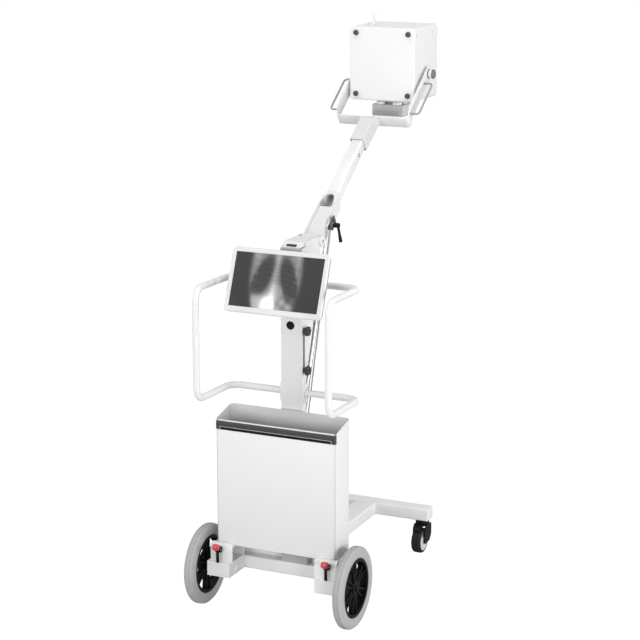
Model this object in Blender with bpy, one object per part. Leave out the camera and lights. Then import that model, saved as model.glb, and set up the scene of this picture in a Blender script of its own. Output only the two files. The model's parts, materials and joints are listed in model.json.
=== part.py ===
"""Mobile X-ray cart: two large rear wheels, two front casters, a detector bin, a column with
a push handle and a tilting monitor, and a gas-spring arm that carries the X-ray head in a yoke.

Metres, +Z up. +Y is the way the cart is pushed, +X is the operator's right. The driving sizes are
measured from the rear axle, and the whole cart is then moved along Y so that the origin lies on
the floor at the middle of its overall length.
"""
import math

import bmesh
import bpy
from mathutils import Matrix, Vector
from mathutils.geometry import tessellate_polygon

# ---------------------------------------------------------------- driving sizes
GAP = 0.0003                 # clearance between pieces that touch

# rear wheels
WHEEL_R = 0.150              # 12 inch wheel
TYRE_INNER_R = 0.1085
TYRE_W = 0.038
HUB_R = 0.024
HUB_OUT = 0.016              # hub half length
RIM_BAND = 0.011             # radial depth of the rim's band
SPOKE_PAIRS = 6
SPOKE_W = 0.007
SPOKE_T = 0.019
AXLE_R = 0.008
AXLE_NUT_R = 0.0125
AXLE_NUT_T = 0.006

# base frame
BEAM = 0.050                 # square tube
BEAM_WALL = 0.003
DRAIN_R = 0.005
DRAIN_X = 0.080
BEAM_LOW = 0.130             # underside of the frame
CROSS_REAR_Y = 0.063         # operator side of the rear cross tube
FRONT_CROSS_Y = 0.805
FRONT_CROSS_W = 0.060
FRONT_HALF = 0.264
LONG_HALF = 0.045

# axle carriers and brakes, placed from the ends of the bin
BIN_HALF = 0.2384
WHEEL_X = BIN_HALF + 0.0566  # mid-plane of each wheel
CARRIER_OUT = WHEEL_X - 0.035
CARRIER_IN = CARRIER_OUT - 0.090
REAR_HALF = CARRIER_OUT - 0.002
CARRIER_BACK = -0.058
CARRIER_H = 0.055
BRACKET_OUT = CARRIER_OUT - 0.008
BRACKET_IN = BRACKET_OUT - 0.088
BRACKET_BACK = -0.044
BRACKET_FRONT = 0.055
BRACKET_WALL = 0.004
BRACKET_LIP = 0.007          # how far the bracket's lip stands above the bin's floor
BRAKE_X = BRACKET_OUT - 0.036
BRAKE_SHIFT = 0.0036         # both levers are alike, so they sit this much right of their brackets' middle
BRAKE_HUB = (-0.058, 0.236)
BRAKE_HUB_R = 0.011
BRAKE_HUB_W = 0.022
BRAKE_EAR_T = 0.004
BRAKE_PIN_R = 0.004
BRAKE_PIN_IN = 0.002         # from the hub's open end to the pin's end
BRAKE_DROP = 0.0495
TOE_HALF = 0.0058
STEM_HALF = 0.006
RED_KNOB = (-0.088, 0.2545)
RED_KNOB_R = 0.0125
RED_KNOB_X = (-0.007, 0.016)     # from the lever's middle

# front casters
CASTER_X = 0.233
CASTER_R = 0.050
CASTER_W = 0.040
CASTER_TRAIL = 0.028
CASTER_HUB_R = 0.031
FORK_GAP = 0.0025
FORK_T = 0.004
FORK_TOP = 0.114
SWIVEL_R = 0.027
CHEEK_FRONT = 0.031
CHEEK_END_R = 0.013
PEDAL_L = 0.030
PEDAL_FALL = 0.009
PEDAL_T = 0.005
PEDAL_R = 0.005
PEDAL_HALF = 0.014
CASTER_PIN_R = 0.005

# detector bin
BIN_FRONT = -0.022
BIN_BACK = 0.104
BIN_FLOOR = 0.246
BIN_FRONT_TOP = 0.718
BIN_BACK_TOP = 0.746
BIN_WALL = 0.002
BIN_CORNER = 0.014
TRIM_H = 0.0315
TRIM_T = 0.010
TRIM_BELOW = 0.0055          # from the front of the sloping rim down to the trim's top
TRIM_IN = 0.0025             # how far the trim stops short of the bin's side at each end
BIN_RAIL_HALF = 0.100
BIN_RAIL_Z = (0.330, 0.670)

# mains inlet on the rear cross tube
INLET_X = (-0.018, 0.087)
INLET_DEPTH = 0.038
INLET_H = 0.029

# column
COL_HALF = 0.042
COL_FRONT = 0.121
COL_DEPTH = 0.034
COL_WALL = 0.003
FOOT_T = 0.008
SHIELD_HALF = BRACKET_IN + 0.041   # plate under the bin, behind the two brackets
SHIELD_Y = 0.1015
SHIELD_T = 0.0025
COL_TOP = 1.340
SPINE_HALF = 0.020
SPINE_DEPTH = 0.032
SPINE_TOP = 0.840
COVER_LOW = 1.020
COVER_T = 0.0015
HEAD_RISE = 0.018
HEAD_RUN = 0.025
HEAD_RIGHT = 0.034           # right side of the display housing
WINDOW_X = -0.003
WINDOW_DOWN = 0.004          # window's centre below the middle of the slanted face
WINDOW_W = 0.039
WINDOW_H = 0.011
WINDOW_T = 0.0015
GROMMET_R = 0.0155
GROMMET_X = -0.0035
GROMMET_Z = 1.057
CHEEK_T = 0.006
CHEEK_LOW = 0.850
CHEEK_R = 0.021
LID_REACH = 0.094              # flat lid over the cheeks, behind the display housing
LID_DROP = 0.008
LID_SLOPE = 0.14
CHEEK_PASS = 0.0042          # how far behind the pivot the cheeks' rear edge points
STRIP_LOW = 0.9045
STRIP_HIGH = 1.0265
STRIP_W = 0.012
KNOB_R = 0.0205
KNOB_NECK_R = 0.0105
KNOB_NECK_L = 0.009
KNOB_Z = (0.8925, 1.0385)
KNOB_Y = 0.133
KNOB_L = 0.024
STRIP_T = 0.002

# push handle
TUBE_R = 0.0125
TUBE_BORE_R = 0.0105
HANDLE_X = 0.2558
HANDLE_BACK = -0.1258
HANDLE_LOW = 0.8125
HANDLE_HIGH = 1.2195
HANDLE_BEND = 0.045
HANDLE_DROP = 0.007          # the arms fall this much from the grips to the column
HANDLE_Y = 0.1445
FLANGE_Y = 0.138
FLANGE_HALF = 0.0165
FLANGE_TALL = 0.036
FLANGE_T = 0.004
FLANGE_CORNER = 0.006
BOLT_R = 0.0045
BOLT_T = 0.003
BOLT_IN = 0.009              # from the flange's end to its bolt

# monitor
MON_W = 0.378
MON_H = 0.2342
MON_CORNER = 0.016
MON_CENTRE = (0.003, 1.2376)
MON_TILT = 0.384
MON_X = -0.0033               # the screen sits slightly left of its hinge
BEZEL_T = 0.010
BEZEL_RIM = 0.0175
BEZEL_CHIN = 0.021
SHELL_T = 0.014
SCREEN_T = 0.002
SCREEN_SINK = 0.0012
SHELL_WALL = 0.0025
PLATE_HALF = 0.050
HINGE_PIN_R = 0.004
HINGE_BACK = 0.046           # tilt axis behind the monitor's front face
HINGE_R = 0.010
HINGE_HALF = 0.030

# arm
PIVOT = (0.284, 1.338)
ARM_ANGLE = math.radians(35.5)
PIN_R = 0.008
BOSS_R = 0.020
BOSS_T = 0.008
ROOT_HALF = 0.033
ROOT_W = (-0.0440, 0.0128)   # lower and upper face, square to the arm
ROOT_START = 0.014
ARCH_HALF = 0.0265
ARCH_CENTRE = 0.2035
ARCH_START = 0.167           # where the opening's sides begin to close in
ARCH_REACH = 0.063
ROOT_FLOOR = 0.004
TROUGH_W = 0.0010            # floor of the shallow opening, above the hollow
TROUGH_WEB = 0.003
HOLLOW_START = 0.028
POCKET_START = 0.172         # where the floor ends and the hollow opens
ARM_TUBE_HALF = 0.0222
ARM_TUBE_W = (-0.0410, 0.0100)
ARM_TUBE_WALL = 0.003
SPIGOT_L = 0.045
SPIGOT_WALL = 0.002
LUG_R = 0.019                # root's round end about the pivot
LUG_REACH = 0.022
LUG_TOP = 0.0115
NECK_START = 0.518
NECK_SHOULDER = 0.640
NECK_END = 0.672
NECK_HALF = 0.028
NECK_SOCKET = 0.080
NECK_LOW = 0.049             # neck's lower edge at the yoke

# gas spring (cylinder on the column, rod to the arm)
GAS_LOW = (0.200, 0.650)
SPRING_EYE = (0.130, -0.066)  # upper eye, along and square to the arm
GAS_R = 0.011
GAS_ROD_R = 0.005
GAS_CYL_L = 0.420
GAS_ROD_IN = 0.150           # length of rod inside the cylinder at rest
GAS_BORE_L = 0.300
EYE_PIN_R = 0.004
EYE_R = 0.010
EYE_HALF = 0.006
LUG_T = 0.004
LUG_GAP = 0.004

# brake rod
ROD_X = 0.050
ROD_LOW = (0.143, 0.670)
ROD_TOP = (0.351, 1.385)
ROD_EYE_HALF = 0.004
ROD_BEYOND = 0.026
ROD_R = 0.004
LEVER_L = 0.056
LEVER_HUB_L = 0.023
LEVER_AT = (0.086, -0.003)
CLAMP_U = (0.068, 0.108, 0.130)
CLAMP_W = (-0.014, 0.002)
CLAMP_OUT = 0.060
CLAMP_SLACK = 0.0007
CLAMP_IN = 0.0420            # inner face of the clamp; a boss on the arm reaches it
CLAMP_SLOT_END = 0.110

# yoke
YOKE_DEPTH = 0.2577          # web to the head's tilt axis
YOKE_REACH = NECK_END + GAP + YOKE_DEPTH
YOKE_OFFSET = 0.0165         # tilt axis below the arm pivot's line
YOKE_HALF = 0.150
YOKE_T = 0.004
YOKE_W = 0.054
YOKE_WEB = (0.015, 0.062)    # web's upper and lower edge below the arm pivot's line
YOKE_BEND = YOKE_DEPTH * 0.86   # from the tilt axis to where the arm plates widen
BOW_R = 0.004
BOW_OUT = 0.034
BOW_FROM = YOKE_DEPTH * 0.2134  # from the tilt axis to the bow's upper foot
BOW_L = YOKE_DEPTH * 0.6674
BOW_BEND = 0.014
TILT_R = 0.0185
TILT_L = 0.018
TILT_CAP_T = 0.006
TILT_PIN_R = 0.006
TILT_SPACER_R = 0.012
TILT_AT = (PIVOT[0] + YOKE_REACH * math.cos(ARM_ANGLE) + YOKE_OFFSET * math.sin(ARM_ANGLE),
           PIVOT[1] + YOKE_REACH * math.sin(ARM_ANGLE) - YOKE_OFFSET * math.cos(ARM_ANGLE))

# head
HEAD_HALF = 0.134
HEAD_DEPTH = 0.246
HEAD_H = 0.282
HEAD_BACK = TILT_AT[0] - HEAD_DEPTH * 0.458   # the tilt axis goes through the head's balance
HEAD_LOW = TILT_AT[1] - HEAD_H * 0.3532
HEAD_HIGH = HEAD_LOW + HEAD_H
HEAD_WALL = 0.003
HEAD_EDGE = 0.010
FOOT_R = 0.011
FOOT_H = 0.008
FOOT_DX = HEAD_HALF - 0.0261
FOOT_DZ = (HEAD_LOW + 0.0240, HEAD_HIGH - 0.0235)
COLL_HALF = 0.067
COLL_DEPTH = 0.130
COLL_BACK = HEAD_BACK + 0.063
COLL_TOP = HEAD_LOW - 0.022
COLL_LOW = COLL_TOP - 0.046
THROAT_IN = 0.010
THROAT_BACK = 0.034
COLL_DIAL_R = 0.018
COLL_DIAL_T = 0.011
COLL_DIAL_X = 0.034
COLL_DIAL_IN = 0.014
COVER_DEPTH = 0.014
TUBE_UNIT_HALF = 0.085
TUBE_UNIT_H = HEAD_H * 0.532
TUBE_UNIT_IN = 0.030
POST_AT = (-HEAD_HALF * 0.5, HEAD_BACK + 0.080)
POST_H = 0.050
DOME_AT = (-HEAD_HALF * 0.8022, HEAD_BACK + 0.112)

# the shared origin: floor, middle of the overall length
BACK_REACH = WHEEL_R
FRONT_REACH = HEAD_BACK + HEAD_DEPTH
ORIGIN_Y = (FRONT_REACH - BACK_REACH) / 2

BEAM_TOP = BEAM_LOW + BEAM
CROSS_REAR_END = CROSS_REAR_Y + BEAM
COL_BACK = COL_FRONT + COL_DEPTH
AXLE_Z = WHEEL_R

# ---------------------------------------------------------------- scene and materials
for old in list(bpy.data.objects):
    bpy.data.objects.remove(old, do_unlink=True)


def material(name, colour, roughness, metallic=0.0):
    made = bpy.data.materials.new(name)
    made.use_nodes = True
    shader = made.node_tree.nodes["Principled BSDF"]
    shader.inputs["Base Color"].default_value = (*colour, 1.0)
    shader.inputs["Roughness"].default_value = roughness
    shader.inputs["Metallic"].default_value = metallic
    return made


WHITE = material("white_powder_coat", (0.82, 0.82, 0.81), 0.42)
SHELL_WHITE = material("white_moulding", (0.84, 0.84, 0.84), 0.38)
TYRE_GREY = material("grey_tyre", (0.42, 0.42, 0.43), 0.75)
BLACK = material("black_moulding", (0.02, 0.02, 0.02), 0.4)
DARK_GREY = material("dark_grey_moulding", (0.10, 0.10, 0.11), 0.5)
RED = material("red_grip", (0.62, 0.04, 0.05), 0.35)
STEEL = material("bright_steel", (0.62, 0.63, 0.64), 0.25, 1.0)
RUBBER = material("black_rubber", (0.015, 0.015, 0.015), 0.8)
GLASS = material("display_glass", (0.03, 0.03, 0.035), 0.12)


def empty(name, at, parent=None, turn=0.0):
    """A joint or reference point; turn is about X."""
    made = bpy.data.objects.new(name, None)
    bpy.context.scene.collection.objects.link(made)
    made.parent = parent
    made.location = at
    made.rotation_euler = (turn, 0.0, 0.0)
    return made


CART = empty("cart_origin", (0.0, -ORIGIN_Y, 0.0))


def cart_matrix(frame):
    """Where a reference point lies in the sizes measured from the rear axle."""
    here = Matrix.Translation(frame.location) @ frame.rotation_euler.to_matrix().to_4x4()
    if frame.parent is None or frame is CART:
        return Matrix.Identity(4)
    return cart_matrix(frame.parent) @ here


def place(name, bm, mat, frame=CART, smooth=False):
    """Turn a bmesh drawn in rear-axle sizes into a named object under a reference point."""
    bmesh.ops.remove_doubles(bm, verts=bm.verts, dist=1e-6)
    bmesh.ops.recalc_face_normals(bm, faces=bm.faces)
    mesh = bpy.data.meshes.new(name)
    bm.to_mesh(mesh)
    bm.free()
    mesh.transform(cart_matrix(frame).inverted())
    made = bpy.data.objects.new(name, mesh)
    bpy.context.scene.collection.objects.link(made)
    made.data.materials.append(mat)
    made.parent = frame
    if smooth:
        mesh.shade_smooth()
        mesh.set_sharp_from_angle(angle=math.radians(35))
    return made


def bevel(obj, width, segments=2, angle=40.0):
    rounded = obj.modifiers.new("edges", "BEVEL")
    rounded.width = width
    rounded.segments = segments
    rounded.limit_method = "ANGLE"
    rounded.angle_limit = math.radians(angle)
    return obj


def combine(obj, other, operation):
    """Apply a Boolean to the first object and remove the second."""
    bpy.context.view_layer.update()
    step = obj.modifiers.new(operation.lower(), "BOOLEAN")
    step.operation = operation
    step.object = other
    step.solver = "EXACT"
    bpy.context.view_layer.update()
    graph = bpy.context.evaluated_depsgraph_get()
    result = bpy.data.meshes.new_from_object(obj.evaluated_get(graph))
    obj.modifiers.clear()
    obj.data = result
    bpy.data.objects.remove(other, do_unlink=True)
    return obj


# ---------------------------------------------------------------- shapes
AXES = {"X": (1, 2, 0), "Y": (0, 2, 1), "Z": (0, 1, 2)}


def spot(axis, a, b, c):
    """A point from the two coordinates square to an axis and the one along it."""
    out = [0.0, 0.0, 0.0]
    first, second, along = AXES[axis]
    out[first], out[second], out[along] = a, b, c
    return out


def extrude(bm, axis, outline, low, high, holes=()):
    """A closed prism: a flat outline, with holes, drawn out along an axis."""
    loops = [list(outline)] + [list(hole) for hole in holes]
    rings = [[(bm.verts.new(spot(axis, a, b, low)), bm.verts.new(spot(axis, a, b, high)))
              for a, b in loop] for loop in loops]
    flat = [pair for ring in rings for pair in ring]
    for ring in rings:
        for here, there in zip(ring, ring[1:] + ring[:1]):
            bm.faces.new((here[0], there[0], there[1], here[1]))
    if not holes:
        bm.faces.new([pair[0] for pair in flat])
        bm.faces.new([pair[1] for pair in reversed(flat)])
        return bm
    for tri in tessellate_polygon([[Vector((a, b, 0)) for a, b in loop] for loop in loops]):
        bm.faces.new([flat[i][0] for i in tri])
        bm.faces.new([flat[i][1] for i in reversed(tri)])
    return bm


def box(bm, low, high):
    (x0, y0, z0), (x1, y1, z1) = low, high
    return extrude(bm, "Z", [(x0, y0), (x1, y0), (x1, y1), (x0, y1)], z0, z1)


def arc(centre, radius, start, end, steps):
    """Points on an arc, angles in degrees."""
    turns = [math.radians(start + (end - start) * i / steps) for i in range(steps + 1)]
    return [(centre[0] + radius * math.cos(t), centre[1] + radius * math.sin(t)) for t in turns]


def circle(centre, radius, steps=24):
    return arc(centre, radius, 0, 360, steps)[:-1]


def rounded_rect(centre, half_a, half_b, radius, steps=3):
    points = []
    for i, (sa, sb) in enumerate(((1, 1), (-1, 1), (-1, -1), (1, -1))):
        corner = (centre[0] + sa * (half_a - radius), centre[1] + sb * (half_b - radius))
        points += arc(corner, radius, 90 * i, 90 * i + 90, steps)
    return points


def lathe(bm, axis, centre, profile, steps=24, closed=False):
    """Turn (along, radius) points about an axis through a centre given square to it."""
    rings = []
    for along, radius in profile:
        if radius == 0.0:
            rings.append([bm.verts.new(spot(axis, centre[0], centre[1], along))])
            continue
        turns = [2 * math.pi * i / steps for i in range(steps)]
        rings.append([bm.verts.new(spot(axis, centre[0] + radius * math.sin(t),
                                        centre[1] - radius * math.cos(t), along))
                      for t in turns])
    if closed:
        rings.append(rings[0])
    for ring, after in zip(rings, rings[1:]):
        for i in range(steps):
            j = (i + 1) % steps
            if len(ring) == 1:
                bm.faces.new((ring[0], after[j], after[i]))
            elif len(after) == 1:
                bm.faces.new((ring[i], ring[j], after[0]))
            else:
                bm.faces.new((ring[i], ring[j], after[j], after[i]))
    return bm


def cylinder(bm, axis, centre, radius, low, high, steps=20):
    return lathe(bm, axis, centre, [(low, 0.0), (low, radius), (high, radius), (high, 0.0)], steps)


def bent_path(corners, radius, steps=5):
    """A path of straight runs joined by arcs of one radius at its inner corners."""
    points = [Vector(corners[0])]
    for before, corner, after in zip(corners, corners[1:], corners[2:]):
        here = Vector(corner)
        back = (Vector(before) - here).normalized()
        on = (Vector(after) - here).normalized()
        half = back.angle(on) / 2
        centre = here + (back + on).normalized() * radius / math.sin(half)
        start = here + back * radius / math.tan(half) - centre
        end = here + on * radius / math.tan(half) - centre
        reach = start.length
        start.normalize()
        end.normalize()
        points += [centre + start.slerp(end, i / steps) * reach for i in range(steps + 1)]
    return points + [Vector(corners[-1])]


def sweep(bm, path, radius, steps=12, bore=None):
    """A round bar along a path, or a tube with open ends if a bore is given."""
    tangents = []
    for i, here in enumerate(path):
        ahead = path[min(i + 1, len(path) - 1)] - here
        behind = here - path[max(i - 1, 0)]
        tangents.append((ahead.normalized() + behind.normalized()).normalized())
    side = tangents[0].orthogonal().normalized()
    walls = [radius] if bore is None else [radius, bore]
    rings = [[] for _ in walls]
    for here, along in zip(path, tangents):
        side = (side - along * side.dot(along)).normalized()
        up = along.cross(side)
        for ring, wall in zip(rings, walls):
            ring.append([bm.verts.new(here + (side * math.cos(t) + up * math.sin(t)) * wall)
                         for t in (2 * math.pi * k / steps for k in range(steps))])
    for ring in rings:
        for first, second in zip(ring, ring[1:]):
            for k in range(steps):
                m = (k + 1) % steps
                bm.faces.new((first[k], first[m], second[m], second[k]))
    for end in (0, -1):
        if bore is None:
            bm.faces.new(rings[0][end])
            continue
        for k in range(steps):
            m = (k + 1) % steps
            bm.faces.new((rings[0][end][k], rings[0][end][m], rings[1][end][m], rings[1][end][k]))
    return bm


def rect(a0, b0, a1, b1):
    return [(a0, b0), (a1, b0), (a1, b1), (a0, b1)]


def square_tube(bm, axis, a0, b0, a1, b1, low, high, wall):
    hole = rect(a0 + wall, b0 + wall, a1 - wall, b1 - wall)
    return extrude(bm, axis, rect(a0, b0, a1, b1), low, high, [hole])


def signed(side, low, high):
    """A range of X on one side of the cart, from the range of distances from its middle."""
    return (low, high) if side > 0 else (-high, -low)


SIDES = (("left", -1), ("right", 1))


# ---------------------------------------------------------------- base frame
def closed_beam(name, section, reach):
    """A cross tube with welded end plates and a drain hole in its underside."""
    low_y, low_z, high_y, high_z = section
    made = place(name, box(bmesh.new(), (-reach, low_y, low_z), (reach, high_y, high_z)), WHITE)
    void = box(bmesh.new(), (-reach + BEAM_WALL, low_y + BEAM_WALL, low_z + BEAM_WALL),
               (reach - BEAM_WALL, high_y - BEAM_WALL, high_z - BEAM_WALL))
    combine(made, place("void", void, WHITE), "DIFFERENCE")
    drain = cylinder(bmesh.new(), "Z", (DRAIN_X, (low_y + high_y) / 2), DRAIN_R, low_z - 0.01,
                     low_z + BEAM_WALL + 0.01, 12)
    combine(made, place("drain", drain, WHITE), "DIFFERENCE")


def base_frame():
    closed_beam("rear_beam", (CROSS_REAR_Y, BEAM_LOW, CROSS_REAR_END, BEAM_TOP), REAR_HALF)
    front_end = FRONT_CROSS_Y + FRONT_CROSS_W
    closed_beam("front_beam", (FRONT_CROSS_Y, BEAM_LOW, front_end, BEAM_TOP), FRONT_HALF)
    spine = square_tube(bmesh.new(), "Y", -LONG_HALF, BEAM_LOW, LONG_HALF, BEAM_TOP,
                        CROSS_REAR_END + GAP, FRONT_CROSS_Y - GAP, BEAM_WALL)
    place("long_beam", spine, WHITE)


def rear_bracket(name, side):
    """The axle block behind the rear cross tube, and the folded bracket on top of it that seats
    the bin and holds the brake lever on an ear with a pin."""
    block_top = BEAM_LOW + CARRIER_H
    block = rect(CARRIER_BACK, BEAM_LOW, CROSS_REAR_Y - GAP, block_top)
    made = place(name, extrude(bmesh.new(), "X", block, *signed(side, CARRIER_IN, CARRIER_OUT),
                               [circle((0.0, AXLE_Z), AXLE_R + GAP)]), WHITE)
    low = block_top - 0.001
    seat = BIN_FLOOR - GAP
    lip_front = BIN_FRONT - GAP
    lip = BIN_FLOOR + BRACKET_LIP
    profile = [(BRACKET_BACK, low), (BRACKET_FRONT, low), (BRACKET_FRONT, seat), (lip_front, seat),
               (lip_front, lip), (BRACKET_BACK + 0.010, lip), (BRACKET_BACK, seat)]
    inside = rect(BRACKET_BACK + BRACKET_WALL, low + BRACKET_WALL, BRACKET_FRONT - BRACKET_WALL,
                  seat - BRACKET_WALL)
    fold = extrude(bmesh.new(), "X", profile, *signed(side, BRACKET_IN, BRACKET_OUT), [inside])
    combine(made, place("fold", fold, WHITE), "UNION")
    hub_z = BRAKE_HUB[1]
    ear_r = BRAKE_HUB_R * 0.8
    reach = BRACKET_BACK + BRACKET_WALL / 2
    outline = arc(BRAKE_HUB, ear_r, 90, 270, 6) + [(reach, hub_z - ear_r), (reach, hub_z + ear_r)]
    inner = side * BRAKE_X + BRAKE_SHIFT - BRAKE_HUB_W / 2 - GAP
    ear = extrude(bmesh.new(), "X", outline, inner - BRAKE_EAR_T, inner)
    combine(made, place("ear", ear, WHITE), "UNION")
    pin = cylinder(bmesh.new(), "X", BRAKE_HUB, BRAKE_PIN_R, inner - BRAKE_EAR_T / 2,
                   inner + BRAKE_HUB_W - BRAKE_PIN_IN, 12)
    combine(made, place("pin", pin, WHITE), "UNION")


def stub_axle(name, side):
    outer = WHEEL_X + HUB_OUT + GAP
    profile = [(CARRIER_IN + 0.0005, 0.0), (CARRIER_IN + 0.0005, AXLE_R), (outer, AXLE_R),
               (outer, AXLE_NUT_R),
               (outer + AXLE_NUT_T, AXLE_NUT_R * 0.8), (outer + AXLE_NUT_T, 0.0)]
    bm = lathe(bmesh.new(), "X", (0.0, AXLE_Z), [(side * along, r) for along, r in profile], 20)
    place(name, bm, STEEL, smooth=True)


def rear_wheel(name, side):
    """A grey tyre on a black rim with pairs of spokes."""
    mid = side * WHEEL_X
    joint = empty("wheel_axis_" + name, (mid, 0.0, AXLE_Z), CART)
    half = TYRE_W / 2
    crown = WHEEL_R
    outer = [(half, TYRE_INNER_R + 0.008), (half, crown - 0.018), (half - 0.004, crown - 0.006),
             (half - 0.012, crown)]
    profile = [(half - 0.004, TYRE_INNER_R)] + outer
    profile += [(-along, r) for along, r in reversed(profile)]
    tyre = lathe(bmesh.new(), "X", (0.0, AXLE_Z), [(mid + along, r) for along, r in profile], 56,
                 closed=True)
    place("tyre_" + name, tyre, TYRE_GREY, joint, smooth=True)
    band_out = TYRE_INNER_R - GAP
    band_in = band_out - RIM_BAND
    ring = bmesh.new()
    for low, high, along in ((band_in, band_out, half - 0.003), (AXLE_R + GAP, HUB_R, HUB_OUT)):
        section = [(mid - along, low), (mid + along, low), (mid + along, high), (mid - along, high)]
        lathe(ring, "X", (0.0, AXLE_Z), section, 40 if high > HUB_R else 20, closed=True)
    rim = place("rim_" + name, ring, BLACK, joint)
    spokes = bmesh.new()
    for i in range(SPOKE_PAIRS):
        turn = 2 * math.pi * (i + 0.5) / SPOKE_PAIRS
        radial = Vector((math.cos(turn), math.sin(turn)))
        across = Vector((-radial.y, radial.x))
        for pick in (-1, 1):
            start = radial * (HUB_R - 0.002) + across * pick * SPOKE_W * 0.75
            end = radial * (band_in + RIM_BAND * 0.4) + across * pick * SPOKE_W * 2.1
            edge = (end - start).normalized()
            edge = Vector((-edge.y, edge.x)) * SPOKE_W / 2
            quad = [start + edge, start - edge, end - edge, end + edge]
            extrude(spokes, "X", [(p.x, p.y + AXLE_Z) for p in quad], mid - SPOKE_T / 2,
                    mid + SPOKE_T / 2)
    combine(rim, place("spokes", spokes, BLACK, joint), "UNION")


def brake_lever(name, side):
    """A toggle lever on the rear bracket: hub, hanging toe piece and a red grip."""
    hub_y, hub_z = BRAKE_HUB
    mid = side * BRAKE_X + BRAKE_SHIFT
    joint = empty("brake_axis_" + name, (mid, hub_y, hub_z), CART)
    half = BRAKE_HUB_W / 2
    ring = [(mid - half, BRAKE_PIN_R + GAP), (mid + half, BRAKE_PIN_R + GAP),
            (mid + half, BRAKE_HUB_R), (mid - half, BRAKE_HUB_R)]
    lever = place("brake_lever_" + name, lathe(bmesh.new(), "X", BRAKE_HUB, ring, 20, closed=True),
                  BLACK, joint)
    toe = bmesh.new()
    back = hub_y - BRAKE_HUB_R + 0.001
    box(toe, (mid - TOE_HALF, back - 0.0005, hub_z - BRAKE_DROP),
        (mid + TOE_HALF, back + 0.0055, hub_z - BRAKE_HUB_R * 0.6))
    combine(lever, place("toe", toe, BLACK, joint), "UNION")
    stem = bmesh.new()
    grip = Vector(RED_KNOB)
    along = (grip - Vector(BRAKE_HUB)).normalized()
    across = Vector((-along.y, along.x)) * STEM_HALF
    near = Vector(BRAKE_HUB) + along * (BRAKE_HUB_R - 0.003)
    far = grip - along * (RED_KNOB_R - 0.002)
    quad = [near + across, near - across, far - across, far + across]
    extrude(stem, "X", [(p.x, p.y) for p in quad], mid - STEM_HALF, mid + STEM_HALF)
    combine(lever, place("stem", stem, BLACK, joint), "UNION")
    knob = cylinder(bmesh.new(), "X", RED_KNOB, RED_KNOB_R, mid + RED_KNOB_X[0], mid + RED_KNOB_X[1])
    combine(lever, place("grip", knob, RED, joint), "UNION")


# ---------------------------------------------------------------- casters
def casters():
    swivel_y = FRONT_CROSS_Y + FRONT_CROSS_W / 2
    for name, side in SIDES:
        caster(name, side * CASTER_X, swivel_y)


def caster(name, mid, swivel_y):
    swivel = empty("caster_swivel_" + name, (mid, swivel_y, 0.0), CART)
    axle = (swivel_y - CASTER_TRAIL, CASTER_R)
    inner = CASTER_W / 2 + FORK_GAP
    plate_low = FORK_TOP - 0.008
    groove = SWIVEL_R - 0.003
    profile = [(plate_low, 0.0), (plate_low, SWIVEL_R), (FORK_TOP, SWIVEL_R), (FORK_TOP, groove),
               (FORK_TOP + 0.002, groove), (FORK_TOP + 0.002, SWIVEL_R), (BEAM_LOW - GAP, SWIVEL_R),
               (BEAM_LOW - GAP, 0.0)]
    fork = place("caster_fork_" + name, lathe(bmesh.new(), "Z", (mid, swivel_y), profile, 20), BLACK,
                 swivel)
    sides = bmesh.new()
    top = FORK_TOP - 0.002
    cheek = arc(axle, CHEEK_END_R, 200, 290, 5)
    cheek += [(swivel_y + 0.010, axle[1] - 0.010), (swivel_y + 0.023, axle[1] + 0.002),
              (swivel_y + CHEEK_FRONT, axle[1] + 0.017), (swivel_y + CHEEK_FRONT, top - 0.010),
              (swivel_y + CHEEK_FRONT - 0.007, top), (swivel_y - 0.025, top),
              (swivel_y - 0.036, top - 0.014)]
    for half in (-1, 1):
        ends = sorted((mid + half * inner, mid + half * (inner + FORK_T)))
        extrude(sides, "X", cheek, *ends)
    combine(fork, place("cheeks", sides, BLACK, swivel), "UNION")
    pin = cylinder(bmesh.new(), "X", axle, CASTER_PIN_R, mid - inner - FORK_T / 2,
                   mid + inner + FORK_T / 2, 16)
    combine(fork, place("pin", pin, BLACK, swivel), "UNION")
    turning = empty("caster_axis_" + name, (0.0, axle[0] - swivel_y, axle[1]), swivel)
    half = CASTER_W / 2
    dish = 0.004
    profile = [(-half, CASTER_PIN_R + GAP), (half, CASTER_PIN_R + GAP), (half, 0.012),
               (half - dish, 0.014), (half - dish, CASTER_HUB_R), (half, CASTER_HUB_R + 0.002),
               (half, CASTER_R - 0.008), (half - 0.008, CASTER_R)]
    profile += [(-along, r) for along, r in reversed(profile[2:])]
    wheel = lathe(bmesh.new(), "X", axle, [(mid + along, r) for along, r in profile], 28, closed=True)
    place("caster_wheel_" + name, wheel, BLACK, turning, smooth=True)
    hinge = (swivel_y - SWIVEL_R - GAP - PEDAL_R, FORK_TOP - PEDAL_R)
    pedal_at = empty("caster_pedal_axis_" + name, (0.0, hinge[0] - swivel_y, hinge[1]), swivel)
    pedal = arc(hinge, PEDAL_R, -60, 100, 6)
    tip = (hinge[0] - PEDAL_L, hinge[1] - PEDAL_FALL)
    pedal += [tip, (tip[0], tip[1] - PEDAL_T)]
    bm = extrude(bmesh.new(), "X", pedal, mid - PEDAL_HALF, mid + PEDAL_HALF)
    place("caster_pedal_" + name, bm, BLACK, pedal_at)


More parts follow.
